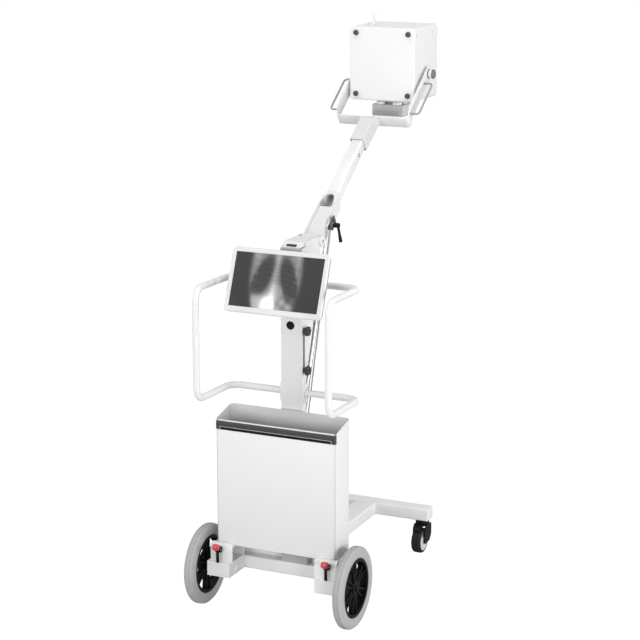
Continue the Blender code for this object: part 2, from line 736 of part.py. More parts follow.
# ---------------------------------------------------------------- detector bin
def detector_bin():
    """A sheet-metal box, open at the top, whose rim slopes up to the column. The front wall ends
    lower, and the edge trim sits on it as a thick bar."""
    depth = BIN_BACK - BIN_FRONT
    mid = (0.0, (BIN_BACK + BIN_FRONT) / 2)
    slope = (BIN_BACK_TOP - BIN_FRONT_TOP) / depth
    outer = rounded_rect(mid, BIN_HALF, depth / 2, BIN_CORNER)
    inner = rounded_rect(mid, BIN_HALF - BIN_WALL, depth / 2 - BIN_WALL, BIN_CORNER - BIN_WALL)
    bm = bmesh.new()
    rings = []
    for loop, floor in ((outer, BIN_FLOOR), (inner, BIN_FLOOR + BIN_WALL)):
        low = [bm.verts.new((x, y, floor)) for x, y in loop]
        high = [bm.verts.new((x, y, BIN_FRONT_TOP + slope * (y - BIN_FRONT))) for x, y in loop]
        rings.append((low, high))
        for i, j in zip(range(len(loop)), list(range(1, len(loop))) + [0]):
            bm.faces.new((low[i], low[j], high[j], high[i]))
        bm.faces.new(low)
    outer_top, inner_top = rings[0][1], rings[1][1]
    for i, j in zip(range(len(outer)), list(range(1, len(outer))) + [0]):
        bm.faces.new((outer_top[i], outer_top[j], inner_top[j], inner_top[i]))
    made = place("detector_bin", bm, WHITE)
    high = BIN_FRONT_TOP - TRIM_BELOW
    seat = high - TRIM_H
    back = BIN_FRONT + TRIM_T
    notch = box(bmesh.new(), (-BIN_HALF - 0.010, BIN_FRONT - 0.010, seat - GAP),
                (BIN_HALF + 0.010, back + GAP, BIN_BACK_TOP))
    combine(made, place("notch", notch, WHITE), "DIFFERENCE")
    profile = [(back, seat), (back, high), (BIN_FRONT + TRIM_T * 0.3, high), (BIN_FRONT, high - 0.004),
               (BIN_FRONT, seat)]
    trim = extrude(bmesh.new(), "X", profile, -BIN_HALF + TRIM_IN, BIN_HALF - TRIM_IN)
    place("bin_trim", trim, BLACK)


def inlet_box():
    """The grey mains inlet housing on the rear cross tube, under the bin."""
    bm = bmesh.new()
    box(bm, (INLET_X[0], CROSS_REAR_Y + 0.001, BEAM_TOP + GAP),
        (INLET_X[1], CROSS_REAR_Y + INLET_DEPTH, BEAM_TOP + INLET_H))
    bevel(place("inlet_box", bm, DARK_GREY), 0.002)


# ---------------------------------------------------------------- column
def column():
    foot_top = BEAM_TOP + GAP + FOOT_T
    section = (-COL_HALF, COL_FRONT, COL_HALF, COL_BACK)
    post = square_tube(bmesh.new(), "Z", *section, foot_top + GAP, COL_TOP - GAP, COL_WALL)
    column_brackets(place("column", post, WHITE))
    spine_back = COL_BACK + GAP + SPINE_DEPTH
    base = bmesh.new()
    box(base, (-COL_HALF - 0.012, SHIELD_Y + 0.001, BEAM_TOP + GAP),
        (COL_HALF + 0.012, spine_back + 0.020, foot_top))
    base = place("column_base", base, WHITE)
    shield = box(bmesh.new(), (-SHIELD_HALF, SHIELD_Y, BEAM_TOP + GAP),
                 (SHIELD_HALF, SHIELD_Y + SHIELD_T, BIN_FLOOR - GAP))
    combine(base, place("shield", shield, WHITE), "UNION")
    stiffener = square_tube(bmesh.new(), "Z", -SPINE_HALF, COL_BACK + GAP, SPINE_HALF, spine_back,
                            foot_top - 0.002, SPINE_TOP, COL_WALL)
    combine(base, place("stiffener", stiffener, WHITE), "UNION")
    low_z = GAS_LOW[1]
    ears = bmesh.new()
    for half in (-1, 1):
        ends = sorted((half * (EYE_HALF + GAP), half * (EYE_HALF + GAP + LUG_T)))
        outline = arc(GAS_LOW, EYE_R, -90, 90, 8)
        outline += [(spine_back - 0.001, low_z + EYE_R), (spine_back - 0.001, low_z - EYE_R)]
        extrude(ears, "X", outline, *ends)
    combine(base, place("ears", ears, WHITE), "UNION")
    reach = EYE_HALF + GAP + LUG_T / 2
    pin = cylinder(bmesh.new(), "X", GAS_LOW, EYE_PIN_R, -reach, reach, 16)
    combine(base, place("pin", pin, WHITE), "UNION")
    cover = bmesh.new()
    box(cover, (-COL_HALF, COL_FRONT - GAP - COVER_T, COVER_LOW),
        (COL_HALF, COL_FRONT - GAP, COL_TOP - GAP))
    place("column_cover", cover, WHITE)
    wedge = [(COL_FRONT, COL_TOP), (COL_FRONT + HEAD_RUN, COL_TOP + HEAD_RISE),
             (COL_BACK, COL_TOP + HEAD_RISE), (COL_BACK, COL_TOP)]
    place("column_head", extrude(bmesh.new(), "X", wedge, -COL_HALF, HEAD_RIGHT), WHITE)
    up = Vector((HEAD_RUN, HEAD_RISE)).normalized()
    out = Vector((-up.y, up.x))
    mid = Vector((COL_FRONT + HEAD_RUN / 2, COL_TOP + HEAD_RISE / 2)) - up * WINDOW_DOWN + out * GAP
    quad = [mid - up * WINDOW_H / 2, mid + up * WINDOW_H / 2, mid + up * WINDOW_H / 2 + out * WINDOW_T,
            mid - up * WINDOW_H / 2 + out * WINDOW_T]
    glass = extrude(bmesh.new(), "X", [(p.x, p.y) for p in quad], WINDOW_X - WINDOW_W / 2,
                    WINDOW_X + WINDOW_W / 2)
    place("display_window", glass, GLASS)
    face = COL_FRONT - GAP - COVER_T - GAP
    ring = [(face, 0.0), (face, GROMMET_R), (face - 0.002, GROMMET_R - 0.001),
            (face - 0.002, GROMMET_R - 0.005), (face - 0.001, GROMMET_R - 0.006), (face - 0.001, 0.0)]
    place("grommet", lathe(bmesh.new(), "Y", (GROMMET_X, GROMMET_Z), ring, 24), BLACK, smooth=True)


def crossing(point, run, centre, radius):
    """Angle, in degrees, at which a line from a point first meets a circle."""
    away = Vector(point) - Vector(centre)
    run = Vector(run).normalized()
    nearest = away.dot(run)
    step = -nearest - math.sqrt(nearest ** 2 - away.length_squared + radius ** 2)
    hit = away + run * step
    return math.degrees(math.atan2(hit.y, hit.x))


def arm_cheeks():
    """A folded bracket behind the column: a back plate and two tapered cheeks for the pivot."""
    near = COL_BACK + GAP
    low = (near, CHEEK_LOW)
    to_pivot = Vector(PIVOT) - Vector(low)
    lean = math.atan2(to_pivot.x, to_pivot.y) + math.asin(CHEEK_PASS / to_pivot.length)
    high = (near, COL_TOP - 0.002)
    away = Vector(high) - Vector(PIVOT)
    touch = math.degrees(math.atan2(away.y, away.x) - math.acos(CHEEK_R / away.length))
    first = crossing(low, (math.sin(lean), math.cos(lean)), PIVOT, CHEEK_R)
    outline = [low] + arc(PIVOT, CHEEK_R, first, touch % 360, 12) + [high]
    bm = bmesh.new()
    for _, side in SIDES:
        extrude(bm, "X", outline, *signed(side, COL_HALF - CHEEK_T, COL_HALF),
                [circle(PIVOT, PIN_R + GAP)])
    made = place("arm_cheeks", bm, WHITE)
    back = bmesh.new()
    box(back, (-COL_HALF + 0.001, near, CHEEK_LOW + 0.040),
        (COL_HALF - 0.001, near + CHEEK_T, COL_TOP - 0.004))
    combine(made, place("back", back, WHITE), "UNION")
    far, lid = near + LID_REACH, COL_TOP + HEAD_RISE
    low_far = COL_TOP - LID_DROP + LID_REACH * LID_SLOPE
    side_on = [(near, COL_TOP - LID_DROP), (far, low_far), (far, lid), (near, lid)]
    cover = extrude(bmesh.new(), "X", side_on, -COL_HALF, COL_HALF)
    combine(made, place("cover", cover, WHITE), "UNION")
    face = COL_HALF + GAP
    profile = [(-face - BOSS_T, 0.0), (-face - BOSS_T, BOSS_R - 0.002), (-face - BOSS_T + 0.002, BOSS_R),
               (-face, BOSS_R), (-face, PIN_R)]
    profile += [(-along, r) for along, r in reversed(profile)]
    place("arm_pivot_pin", lathe(bmesh.new(), "X", PIVOT, profile, 24), WHITE, smooth=True)


def column_brackets(made):
    """Welded on the column: handle flanges with their bolts, the rails behind the bin and the
    brake rod's pivot."""
    bm = bmesh.new()
    near = COL_HALF - 0.001
    face = COL_HALF + GAP + FLANGE_T
    for height in (HANDLE_LOW - HANDLE_DROP, HANDLE_HIGH - HANDLE_DROP):
        for _, side in SIDES:
            flange = rounded_rect((FLANGE_Y, height), FLANGE_HALF, FLANGE_TALL, FLANGE_CORNER, 2)
            extrude(bm, "X", flange, *signed(side, near, face))
    for height in BIN_RAIL_Z:
        box(bm, (-BIN_RAIL_HALF, BIN_BACK + GAP, height), (BIN_RAIL_HALF, COL_FRONT + 0.001,
                                                          height + 0.020))
    extrude(bm, "X", rounded_rect(ROD_LOW, 0.010, 0.014, 0.004, 2), near, ROD_X - ROD_EYE_HALF - GAP)
    combine(made, place("brackets", bm, WHITE), "UNION")
    bolts = bmesh.new()
    for height in (HANDLE_LOW - HANDLE_DROP, HANDLE_HIGH - HANDLE_DROP):
        for _, side in SIDES:
            for rise in (-1, 1):
                bolt = (COL_FRONT + COL_DEPTH / 2, height + rise * (FLANGE_TALL - BOLT_IN))
                cylinder(bolts, "X", bolt, BOLT_R, *signed(side, face - 0.001, face + BOLT_T), 12)
    cylinder(bolts, "X", ROD_LOW, EYE_PIN_R, near + 0.001, ROD_X + ROD_EYE_HALF + 0.002, 16)
    combine(made, place("bolts", bolts, WHITE), "UNION")


def star_outline(radius, lobes, depth, steps):
    turns = [2 * math.pi * i / steps for i in range(steps)]
    waves = [radius - depth * (1 - math.cos(lobes * t)) / 2 for t in turns]
    return [(wave * math.cos(t), wave * math.sin(t)) for wave, t in zip(waves, turns)]


def star_knobs():
    face = COL_HALF + GAP
    strip = bmesh.new()
    extrude(strip, "X", rect(KNOB_Y - STRIP_W / 2, STRIP_LOW, KNOB_Y + STRIP_W / 2, STRIP_HIGH),
            face, face + STRIP_T)
    place("knob_strip", strip, BLACK)
    for name, height in zip(("lower", "upper"), KNOB_Z):
        joint = empty("star_knob_axis_" + name, (face, KNOB_Y, height), CART)
        neck = cylinder(bmesh.new(), "X", (KNOB_Y, height), KNOB_NECK_R, face,
                        face + KNOB_NECK_L + 0.001)
        knob = place("star_knob_" + name, neck, BLACK, joint)
        lobes = [(KNOB_Y + a, height + b) for a, b in star_outline(KNOB_R, 6, 0.005, 36)]
        grip = extrude(bmesh.new(), "X", lobes, face + KNOB_NECK_L, face + KNOB_L)
        combine(knob, place("grip", grip, BLACK, joint), "UNION")


def push_handle():
    start = COL_HALF + GAP + FLANGE_T + GAP
    for name, side in SIDES:
        high, low = HANDLE_HIGH - HANDLE_DROP, HANDLE_LOW - HANDLE_DROP
        corners = [(side * start, HANDLE_Y, high), (side * HANDLE_X, HANDLE_Y, high),
                   (side * HANDLE_X, HANDLE_BACK, HANDLE_HIGH),
                   (side * HANDLE_X, HANDLE_BACK, HANDLE_LOW),
                   (side * HANDLE_X, HANDLE_Y, low), (side * start, HANDLE_Y, low)]
        tube = sweep(bmesh.new(), bent_path(corners, HANDLE_BEND, 4), TUBE_R, 12, TUBE_BORE_R)
        place("handle_" + name, tube, WHITE, smooth=True)


# ---------------------------------------------------------------- monitor
def monitor():
    """Built facing the operator with its front face's centre at the origin, then tipped back."""
    tip = Matrix.Rotation(-MON_TILT, 4, "X")
    stand = Matrix.Translation((0.0, *MON_CENTRE)) @ tip
    hinge = stand @ Vector((0.0, HINGE_BACK, 0.0))
    joint = empty("monitor_tilt", hinge, CART)
    half_w, half_h = MON_W / 2, MON_H / 2
    middle = (MON_X, 0.0)
    opening = rect(MON_X - half_w + BEZEL_RIM, -half_h + BEZEL_CHIN, MON_X + half_w - BEZEL_RIM,
                   half_h - BEZEL_RIM)
    outline = rounded_rect(middle, half_w, half_h, MON_CORNER, 4)
    bezel = extrude(bmesh.new(), "Y", outline, 0.0, BEZEL_T, [opening])
    bezel.transform(stand)
    place("monitor_bezel", bezel, SHELL_WHITE, joint)
    screen = extrude(bmesh.new(), "Y", rect(opening[0][0] + GAP, opening[0][1] + GAP,
                                            opening[2][0] - GAP, opening[2][1] - GAP),
                     SCREEN_SINK, SCREEN_SINK + SCREEN_T)
    screen.transform(stand)
    place("monitor_screen", screen, GLASS, joint)
    back = BEZEL_T + GAP + SHELL_T
    body = extrude(bmesh.new(), "Y", rounded_rect(middle, half_w - 0.002, half_h - 0.002,
                                                 MON_CORNER, 4), BEZEL_T + GAP, back)
    body.transform(stand)
    shell = place("monitor_shell", body, DARK_GREY, joint)
    hollow = extrude(bmesh.new(), "Y", rounded_rect(middle, half_w - 0.006, half_h - 0.006,
                                                   MON_CORNER, 2), 0.0, back - SHELL_WALL)
    hollow.transform(stand)
    combine(shell, place("hollow", hollow, DARK_GREY, joint), "DIFFERENCE")
    plate_back = HINGE_BACK - HINGE_R - 0.001
    plate = extrude(bmesh.new(), "Y", rounded_rect((0.0, 0.0), PLATE_HALF, PLATE_HALF, 0.006, 2),
                    back - 0.001, plate_back)
    plate.transform(stand)
    combine(shell, place("plate", plate, DARK_GREY, joint), "UNION")
    neck = box(bmesh.new(), (-HINGE_HALF + 0.004, plate_back - 0.001, -0.006),
               (HINGE_HALF - 0.004, HINGE_BACK - HINGE_R * 0.5, 0.006))
    neck.transform(stand)
    combine(shell, place("neck", neck, DARK_GREY, joint), "UNION")
    centre = (hinge.y, hinge.z)
    barrel = cylinder(bmesh.new(), "X", centre, HINGE_R, -HINGE_HALF, HINGE_HALF, 20)
    combine(shell, place("barrel", barrel, DARK_GREY, joint), "UNION")
    bore = cylinder(bmesh.new(), "X", centre, HINGE_PIN_R + GAP, -HINGE_HALF - 0.01,
                    HINGE_HALF + 0.01, 16)
    combine(shell, place("bore", bore, DARK_GREY, joint), "DIFFERENCE")
    monitor_mount(centre)


def monitor_mount(centre):
    """The fixed fork on the column whose pin carries the monitor."""
    face = COL_FRONT - GAP - COVER_T - GAP
    base = bmesh.new()
    box(base, (-HINGE_HALF - 0.008, face - 0.006, centre[1] - 0.045),
        (HINGE_HALF + 0.008, face, centre[1] + 0.045))
    base = place("monitor_mount", base, DARK_GREY)
    ears = bmesh.new()
    for half in (-1, 1):
        ends = sorted((half * (HINGE_HALF + GAP), half * (HINGE_HALF + GAP + 0.005)))
        ear = arc(centre, HINGE_R, 90, 270, 8)
        ear += [(face - 0.003, centre[1] - 0.030), (face - 0.003, centre[1] + 0.030)]
        extrude(ears, "X", ear, *ends)
    combine(base, place("ears", ears, DARK_GREY), "UNION")
    reach = HINGE_HALF + GAP + 0.0025
    pin = cylinder(bmesh.new(), "X", centre, HINGE_PIN_R, -reach, reach, 16)
    combine(base, place("pin", pin, DARK_GREY), "UNION")


# ---------------------------------------------------------------- arm
ARM_STAND = Matrix.Translation((0.0, *PIVOT)) @ Matrix.Rotation(ARM_ANGLE, 4, "X")
SPRING_TOP = tuple((ARM_STAND @ Vector((0.0, *SPRING_EYE))).yz)


def on_arm(bm):
    """The arm's pieces are drawn along +Y from its pivot, then raised to its rest angle."""
    bm.transform(ARM_STAND)
    return bm


def arm(joint):
    low, high = ROOT_W
    arch = (0.0, ARCH_CENTRE)
    shoulder = math.degrees(math.acos(ARM_TUBE_HALF / ROOT_HALF))
    top = ARCH_CENTRE + ROOT_HALF
    outline = [(-ROOT_HALF, ROOT_START), (ROOT_HALF, ROOT_START)] + arc(arch, ROOT_HALF, 0, shoulder, 6)
    outline += [(ARM_TUBE_HALF, top), (-ARM_TUBE_HALF, top)]
    outline += arc(arch, ROOT_HALF, 180 - shoulder, 180, 6)
    root = place("arm_root", on_arm(extrude(bmesh.new(), "Z", outline, low, high)), WHITE, joint)
    ceiling = ARM_TUBE_W[1] - ARM_TUBE_WALL - GAP - SPIGOT_WALL
    before = -ROOT_START
    web = TROUGH_W - TROUGH_WEB
    trough = [(before, TROUGH_W), (POCKET_START, TROUGH_W), (POCKET_START, web), (HOLLOW_START, web),
              (HOLLOW_START, low + ROOT_FLOOR), (ARCH_CENTRE, low + ROOT_FLOOR), (ARCH_CENTRE, ceiling),
              (before, ceiling)]
    cut = on_arm(extrude(bmesh.new(), "X", trough, -ARCH_HALF, ARCH_HALF))
    combine(root, place("trough", cut, WHITE, joint), "DIFFERENCE")
    mouth = [(-ARCH_HALF, before), (ARCH_HALF, before)]
    mouth += [(a, ARCH_START + b * ARCH_REACH / ARCH_HALF)
              for a, b in arc((0.0, 0.0), ARCH_HALF, 0, 180, 16)]
    cut = on_arm(extrude(bmesh.new(), "Z", mouth, ceiling - 0.001, high + ROOT_FLOOR))
    combine(root, place("mouth", cut, WHITE, joint), "DIFFERENCE")
    lug = arc((0.0, 0.0), LUG_R, 90, 270, 10) + [(0.012, low), (LUG_REACH, low), (LUG_REACH, LUG_TOP),
                                                (0.012, LUG_R)]
    block = on_arm(extrude(bmesh.new(), "X", lug, -ROOT_HALF, ROOT_HALF))
    combine(root, place("lug", block, WHITE, joint), "UNION")
    spigot = bmesh.new()
    side = ARM_TUBE_HALF - ARM_TUBE_WALL - GAP
    box(spigot, (-side, ARCH_CENTRE + (ARCH_HALF + ROOT_HALF) / 2, ARM_TUBE_W[0] + ARM_TUBE_WALL + GAP),
        (side, top + SPIGOT_L, ARM_TUBE_W[1] - ARM_TUBE_WALL - GAP))
    combine(root, place("spigot", on_arm(spigot), WHITE, joint), "UNION")
    tunnel = bmesh.new()
    inner = side - SPIGOT_WALL
    box(tunnel, (-inner, ARCH_CENTRE - 0.010, ARM_TUBE_W[0] + ARM_TUBE_WALL + GAP + SPIGOT_WALL),
        (inner, top + SPIGOT_L + 0.010, ceiling))
    combine(root, place("tunnel", on_arm(tunnel), WHITE, joint), "DIFFERENCE")
    bore = cylinder(bmesh.new(), "X", (0.0, 0.0), PIN_R + GAP, -ROOT_HALF - 0.010, ROOT_HALF + 0.010, 24)
    combine(root, place("bore", on_arm(bore), WHITE, joint), "DIFFERENCE")
    boss = bmesh.new()
    box(boss, (ROOT_HALF - 0.001, CLAMP_U[0] + 0.004, CLAMP_W[0] + 0.002),
        (CLAMP_IN - GAP, CLAMP_U[2] - 0.010, CLAMP_W[1] - 0.002))
    combine(root, place("boss", on_arm(boss), WHITE, joint), "UNION")
    spring_lug(root, joint)
    tube = square_tube(bmesh.new(), "Y", -ARM_TUBE_HALF, ARM_TUBE_W[0], ARM_TUBE_HALF, ARM_TUBE_W[1],
                       top + GAP, NECK_START + NECK_SOCKET - GAP, ARM_TUBE_WALL)
    place("arm_tube", on_arm(tube), WHITE, joint)
    wall = ROOT_W[1] - ARM_TUBE_W[1]
    profile = [(NECK_START, ARM_TUBE_W[0] - wall), (NECK_START, ARM_TUBE_W[1] + wall),
               (NECK_SHOULDER, ARM_TUBE_W[1] + wall), (NECK_END, -YOKE_WEB[0]),
               (NECK_END, -NECK_LOW)]
    neck = place("arm_neck", on_arm(extrude(bmesh.new(), "X", profile, -NECK_HALF, NECK_HALF)),
                 WHITE, joint)
    socket = bmesh.new()
    box(socket, (-ARM_TUBE_HALF - GAP, NECK_START - 0.01, ARM_TUBE_W[0] - GAP),
        (ARM_TUBE_HALF + GAP, NECK_START + NECK_SOCKET, ARM_TUBE_W[1] + GAP))
    combine(neck, place("socket", on_arm(socket), WHITE, joint), "DIFFERENCE")


def spring_lug(root, joint):
    """Two ears under the arm for the gas spring's upper eye."""
    u, w = SPRING_EYE
    ears = bmesh.new()
    start = EYE_HALF + LUG_GAP
    for half in (-1, 1):
        ends = sorted((half * start, half * (start + LUG_T)))
        ear = arc((u, w), EYE_R, 180, 360, 8) + [(u + 0.022, ROOT_W[0] + 0.001),
                                               (u - 0.022, ROOT_W[0] + 0.001)]
        extrude(ears, "X", ear, *ends)
    combine(root, place("ears", on_arm(ears), WHITE, joint), "UNION")
    studs = bmesh.new()
    for half in (-1, 1):
        ends = sorted((half * (EYE_HALF + GAP), half * (start + LUG_T / 2)))
        cylinder(studs, "X", SPRING_EYE, EYE_PIN_R, *ends, 16)
    combine(root, place("studs", on_arm(studs), WHITE, joint), "UNION")


def rod_clamp(joint):
    """The wedge on the arm's right side that grips the brake rod, and its lever."""
    outline = [(CLAMP_IN, CLAMP_U[0]), (CLAMP_OUT, CLAMP_U[0]), (CLAMP_OUT, CLAMP_U[1]),
               (CLAMP_IN + 0.005, CLAMP_U[2]), (CLAMP_IN, CLAMP_U[2])]
    body = place("rod_clamp", on_arm(extrude(bmesh.new(), "Z", outline, *CLAMP_W)), DARK_GREY, joint)
    slot = bmesh.new()
    half = ROD_R + CLAMP_SLACK
    box(slot, (ROD_X - half, CLAMP_U[0] - 0.01, CLAMP_W[0] - 0.01),
        (ROD_X + half, CLAMP_SLOT_END, CLAMP_W[1] + 0.01))
    combine(body, place("slot", on_arm(slot), DARK_GREY, joint), "DIFFERENCE")
    axis = ARM_STAND @ Vector((CLAMP_OUT + GAP, *LEVER_AT))
    lever_at = empty("clamp_lever_axis", axis - joint_point(joint), joint)
    centre = (axis.y, axis.z)
    hub = cylinder(bmesh.new(), "X", centre, 0.009, CLAMP_OUT + GAP, CLAMP_OUT + LEVER_HUB_L, 20)
    lever = place("clamp_lever", hub, BLACK, lever_at)
    start = Vector((CLAMP_OUT + LEVER_HUB_L - 0.006, axis.y, axis.z - 0.004))
    end = start + Vector((0.011, 0.0, -LEVER_L))
    grip = bmesh.new()
    rings = []
    for point, radius in ((start, 0.0055), (start.lerp(end, 0.5), 0.005), (end, 0.0065)):
        rings.append([grip.verts.new(point + Vector((math.cos(t), math.sin(t), 0.0)) * radius)
                      for t in (2 * math.pi * k / 12 for k in range(12))])
    for first, second in zip(rings, rings[1:]):
        for k in range(12):
            grip.faces.new((first[k], first[(k + 1) % 12], second[(k + 1) % 12], second[k]))
    grip.faces.new(rings[0])
    grip.faces.new(rings[-1])
    combine(lever, place("grip", grip, BLACK, lever_at), "UNION")


def joint_point(frame):
    """A reference point's place in rear-axle sizes."""
    return cart_matrix(frame).translation


# ---------------------------------------------------------------- struts
def strut_frame(low, high, across=0.0):
    """A frame at a strut's lower pivot with local Z along it, and the strut's length."""
    start, end = Vector(low), Vector(high)
    run = end - start
    turn = Matrix.Rotation(-math.atan2(run.x, run.y), 4, "X")
    return Matrix.Translation((across, start.x, start.y)) @ turn, run.length


def eye(bm, half, at, radius=EYE_R):
    ring = [(-half, EYE_PIN_R + GAP), (half, EYE_PIN_R + GAP), (half, radius), (-half, radius)]
    return lathe(bm, "X", (0.0, at), ring, 20, closed=True)


def gas_spring():
    stand, length = strut_frame(GAS_LOW, SPRING_TOP)
    joint = empty("gas_spring_axis", (0.0, *GAS_LOW), CART)
    lower_eye = eye(bmesh.new(), EYE_HALF, 0.0)
    lower_eye.transform(stand)
    made = place("gas_cylinder", lower_eye, STEEL, joint, smooth=True)
    low = 0.018
    high = low + GAS_CYL_L
    floor = high - GAS_BORE_L
    profile = [(EYE_R - 0.002, 0.0), (EYE_R - 0.002, 0.006), (low, 0.006), (low, GAS_R - 0.002),
               (low + 0.002, GAS_R), (high - 0.002, GAS_R), (high, GAS_R - 0.002),
               (high, GAS_ROD_R + GAP), (floor, GAS_ROD_R + GAP), (floor, 0.0)]
    body = lathe(bmesh.new(), "Z", (0.0, 0.0), profile, 20)
    body.transform(stand)
    combine(made, place("body", body, STEEL, joint, smooth=True), "UNION")
    slide = empty("gas_rod_slide", (0.0, 0.0, 0.0), joint)
    upper_eye = eye(bmesh.new(), EYE_HALF, length)
    upper_eye.transform(stand)
    rod = place("gas_rod", upper_eye, STEEL, slide, smooth=True)
    bar = cylinder(bmesh.new(), "Z", (0.0, 0.0), GAS_ROD_R, high - GAS_ROD_IN, length - EYE_R + 0.003, 16)
    bar.transform(stand)
    combine(rod, place("bar", bar, STEEL, slide), "UNION")


def brake_rod():
    stand, length = strut_frame(ROD_LOW, ROD_TOP, ROD_X)
    joint = empty("brake_rod_axis", (ROD_X, *ROD_LOW), CART)
    ring = eye(bmesh.new(), ROD_EYE_HALF, 0.0, 0.009)
    ring.transform(stand)
    made = place("brake_rod", ring, STEEL, joint, smooth=True)
    bar = cylinder(bmesh.new(), "Z", (0.0, 0.0), ROD_R, 0.007, length + ROD_BEYOND, 14)
    bar.transform(stand)
    combine(made, place("bar", bar, STEEL, joint), "UNION")


# ---------------------------------------------------------------- yoke and head
TILT = (YOKE_REACH, -YOKE_OFFSET)


def yoke(joint):
    start = NECK_END + GAP
    u, w = TILT
    half = YOKE_W / 2
    web = bmesh.new()
    box(web, (-YOKE_HALF, start, -YOKE_WEB[1]), (YOKE_HALF, start + YOKE_T, -YOKE_WEB[0]))
    made = place("yoke", on_arm(web), WHITE, joint)
    plates = bmesh.new()
    outline = [(start, -YOKE_WEB[1]), (u - YOKE_BEND, w - half)] + arc(TILT, half, -90, 90, 12)
    outline += [(u - YOKE_BEND, w + half), (start, -YOKE_WEB[0])]
    for _, side in SIDES:
        extrude(plates, "X", outline, *signed(side, YOKE_HALF - YOKE_T, YOKE_HALF),
                [circle(TILT, TILT_PIN_R + GAP)])
    combine(made, place("plates", on_arm(plates), WHITE, joint), "UNION")
    for _, side in SIDES:
        inner = side * (YOKE_HALF - 0.001)
        outer = side * (YOKE_HALF + BOW_OUT)
        top = u - BOW_FROM
        corners = [(inner, top, w), (outer, top, w), (outer, top - BOW_L, w), (inner, top - BOW_L, w)]
        bow = sweep(bmesh.new(), bent_path(corners, BOW_BEND, 4), BOW_R, 10)
        combine(made, place("bow", on_arm(bow), WHITE, joint), "UNION")


def head(joint):
    axis = ARM_STAND @ Vector((0.0, *TILT))
    tilt = empty("head_tilt", axis - joint_point(joint), joint)
    centre = (0.0, (HEAD_LOW + HEAD_HIGH) / 2)
    half_z = (HEAD_HIGH - HEAD_LOW) / 2
    seam = HEAD_BACK + COVER_DEPTH
    front = HEAD_BACK + HEAD_DEPTH
    inner = (HEAD_HALF - HEAD_WALL, half_z - HEAD_WALL)
    for name, low, high, cavity in (("head_rear_cover", HEAD_BACK, seam - GAP,
                                     (HEAD_BACK + HEAD_WALL, seam + 0.01)),
                                    ("head_housing", seam, front, (seam - 0.01, front - HEAD_WALL))):
        body = extrude(bmesh.new(), "Y", rounded_rect(centre, HEAD_HALF, half_z, HEAD_EDGE, 4), low, high)
        made = place(name, body, SHELL_WHITE, tilt)
        void = extrude(bmesh.new(), "Y", rounded_rect(centre, *inner, HEAD_EDGE - HEAD_WALL, 2), *cavity)
        combine(made, place("void", void, SHELL_WHITE, tilt), "DIFFERENCE")
    face = HEAD_BACK - GAP
    profile = [(face, 0.0), (face, FOOT_R), (face - FOOT_H + 0.002, FOOT_R - 0.001),
               (face - FOOT_H, FOOT_R - 0.003), (face - FOOT_H, 0.0)]
    for level, height in zip(("lower", "upper"), FOOT_DZ):
        for name, side in SIDES:
            foot = lathe(bmesh.new(), "Y", (side * FOOT_DX, height), profile, 20)
            place("head_foot_" + level + "_" + name, foot, RUBBER, tilt, smooth=True)
    for name, side in SIDES:
        hub = YOKE_HALF + GAP
        inside = YOKE_HALF - YOKE_T - GAP
        profile = [(HEAD_HALF + GAP, 0.0), (HEAD_HALF + GAP, TILT_SPACER_R), (inside, TILT_SPACER_R),
                   (inside, TILT_PIN_R), (hub, TILT_PIN_R), (hub, TILT_R),
                   (hub + TILT_L, TILT_R), (hub + TILT_L + TILT_CAP_T, TILT_R - 0.002),
                   (hub + TILT_L + TILT_CAP_T, 0.0)]
        pivot = lathe(bmesh.new(), "X", (axis.y, axis.z), [(side * along, r) for along, r in profile],
                      24)
        place("tilt_pivot_" + name, pivot, SHELL_WHITE, tilt, smooth=True)
    collimator(tilt)
    unit = bmesh.new()
    box(unit, (-TUBE_UNIT_HALF, seam + TUBE_UNIT_IN, HEAD_LOW + HEAD_WALL + GAP),
        (TUBE_UNIT_HALF, front - TUBE_UNIT_IN, HEAD_LOW + HEAD_WALL + TUBE_UNIT_H))
    bevel(place("xray_tube_unit", unit, STEEL, tilt), 0.006)
    post = bmesh.new()
    top = HEAD_HIGH
    sight = [(-0.001, 0.0), (-0.001, 0.008), (0.006, 0.008), (0.009, 0.005), (0.034, 0.005),
             (0.037, 0.0075), (POST_H, 0.0075), (POST_H, 0.0)]
    lathe(post, "Z", POST_AT, [(top + rise, radius) for rise, radius in sight], 16)
    dome = [(-0.001, 0.0), (-0.001, 0.009), (0.004, 0.008), (0.007, 0.005), (0.008, 0.0)]
    lathe(post, "Z", DOME_AT, [(top + rise, radius) for rise, radius in dome], 16)
    combine(made, place("post", post, SHELL_WHITE, tilt), "UNION")


def collimator(tilt):
    """The beam limiter under the head, with a dial for each pair of shutters."""
    back, front = COLL_BACK, COLL_BACK + COLL_DEPTH
    shelf = COLL_TOP
    body = bmesh.new()
    box(body, (-COLL_HALF, back, COLL_LOW), (COLL_HALF, front, shelf))
    made = place("collimator", body, DARK_GREY, tilt)
    throat = bmesh.new()
    box(throat, (-COLL_HALF + THROAT_IN, back + THROAT_BACK, shelf - 0.002),
        (COLL_HALF - THROAT_IN, front - THROAT_IN, HEAD_LOW - GAP))
    combine(made, place("throat", throat, DARK_GREY, tilt), "UNION")
    for name, side in SIDES:
        at = Vector((side * COLL_DIAL_X, back + COLL_DIAL_IN, shelf + GAP))
        dial_at = empty("collimator_dial_axis_" + name, at - joint_point(tilt), tilt)
        lobes = [(at.x + a, at.y + b) for a, b in star_outline(COLL_DIAL_R, 10, 0.0015, 40)]
        dial = extrude(bmesh.new(), "Z", lobes, shelf + GAP, shelf + GAP + COLL_DIAL_T)
        place("collimator_dial_" + name, dial, BLACK, dial_at)


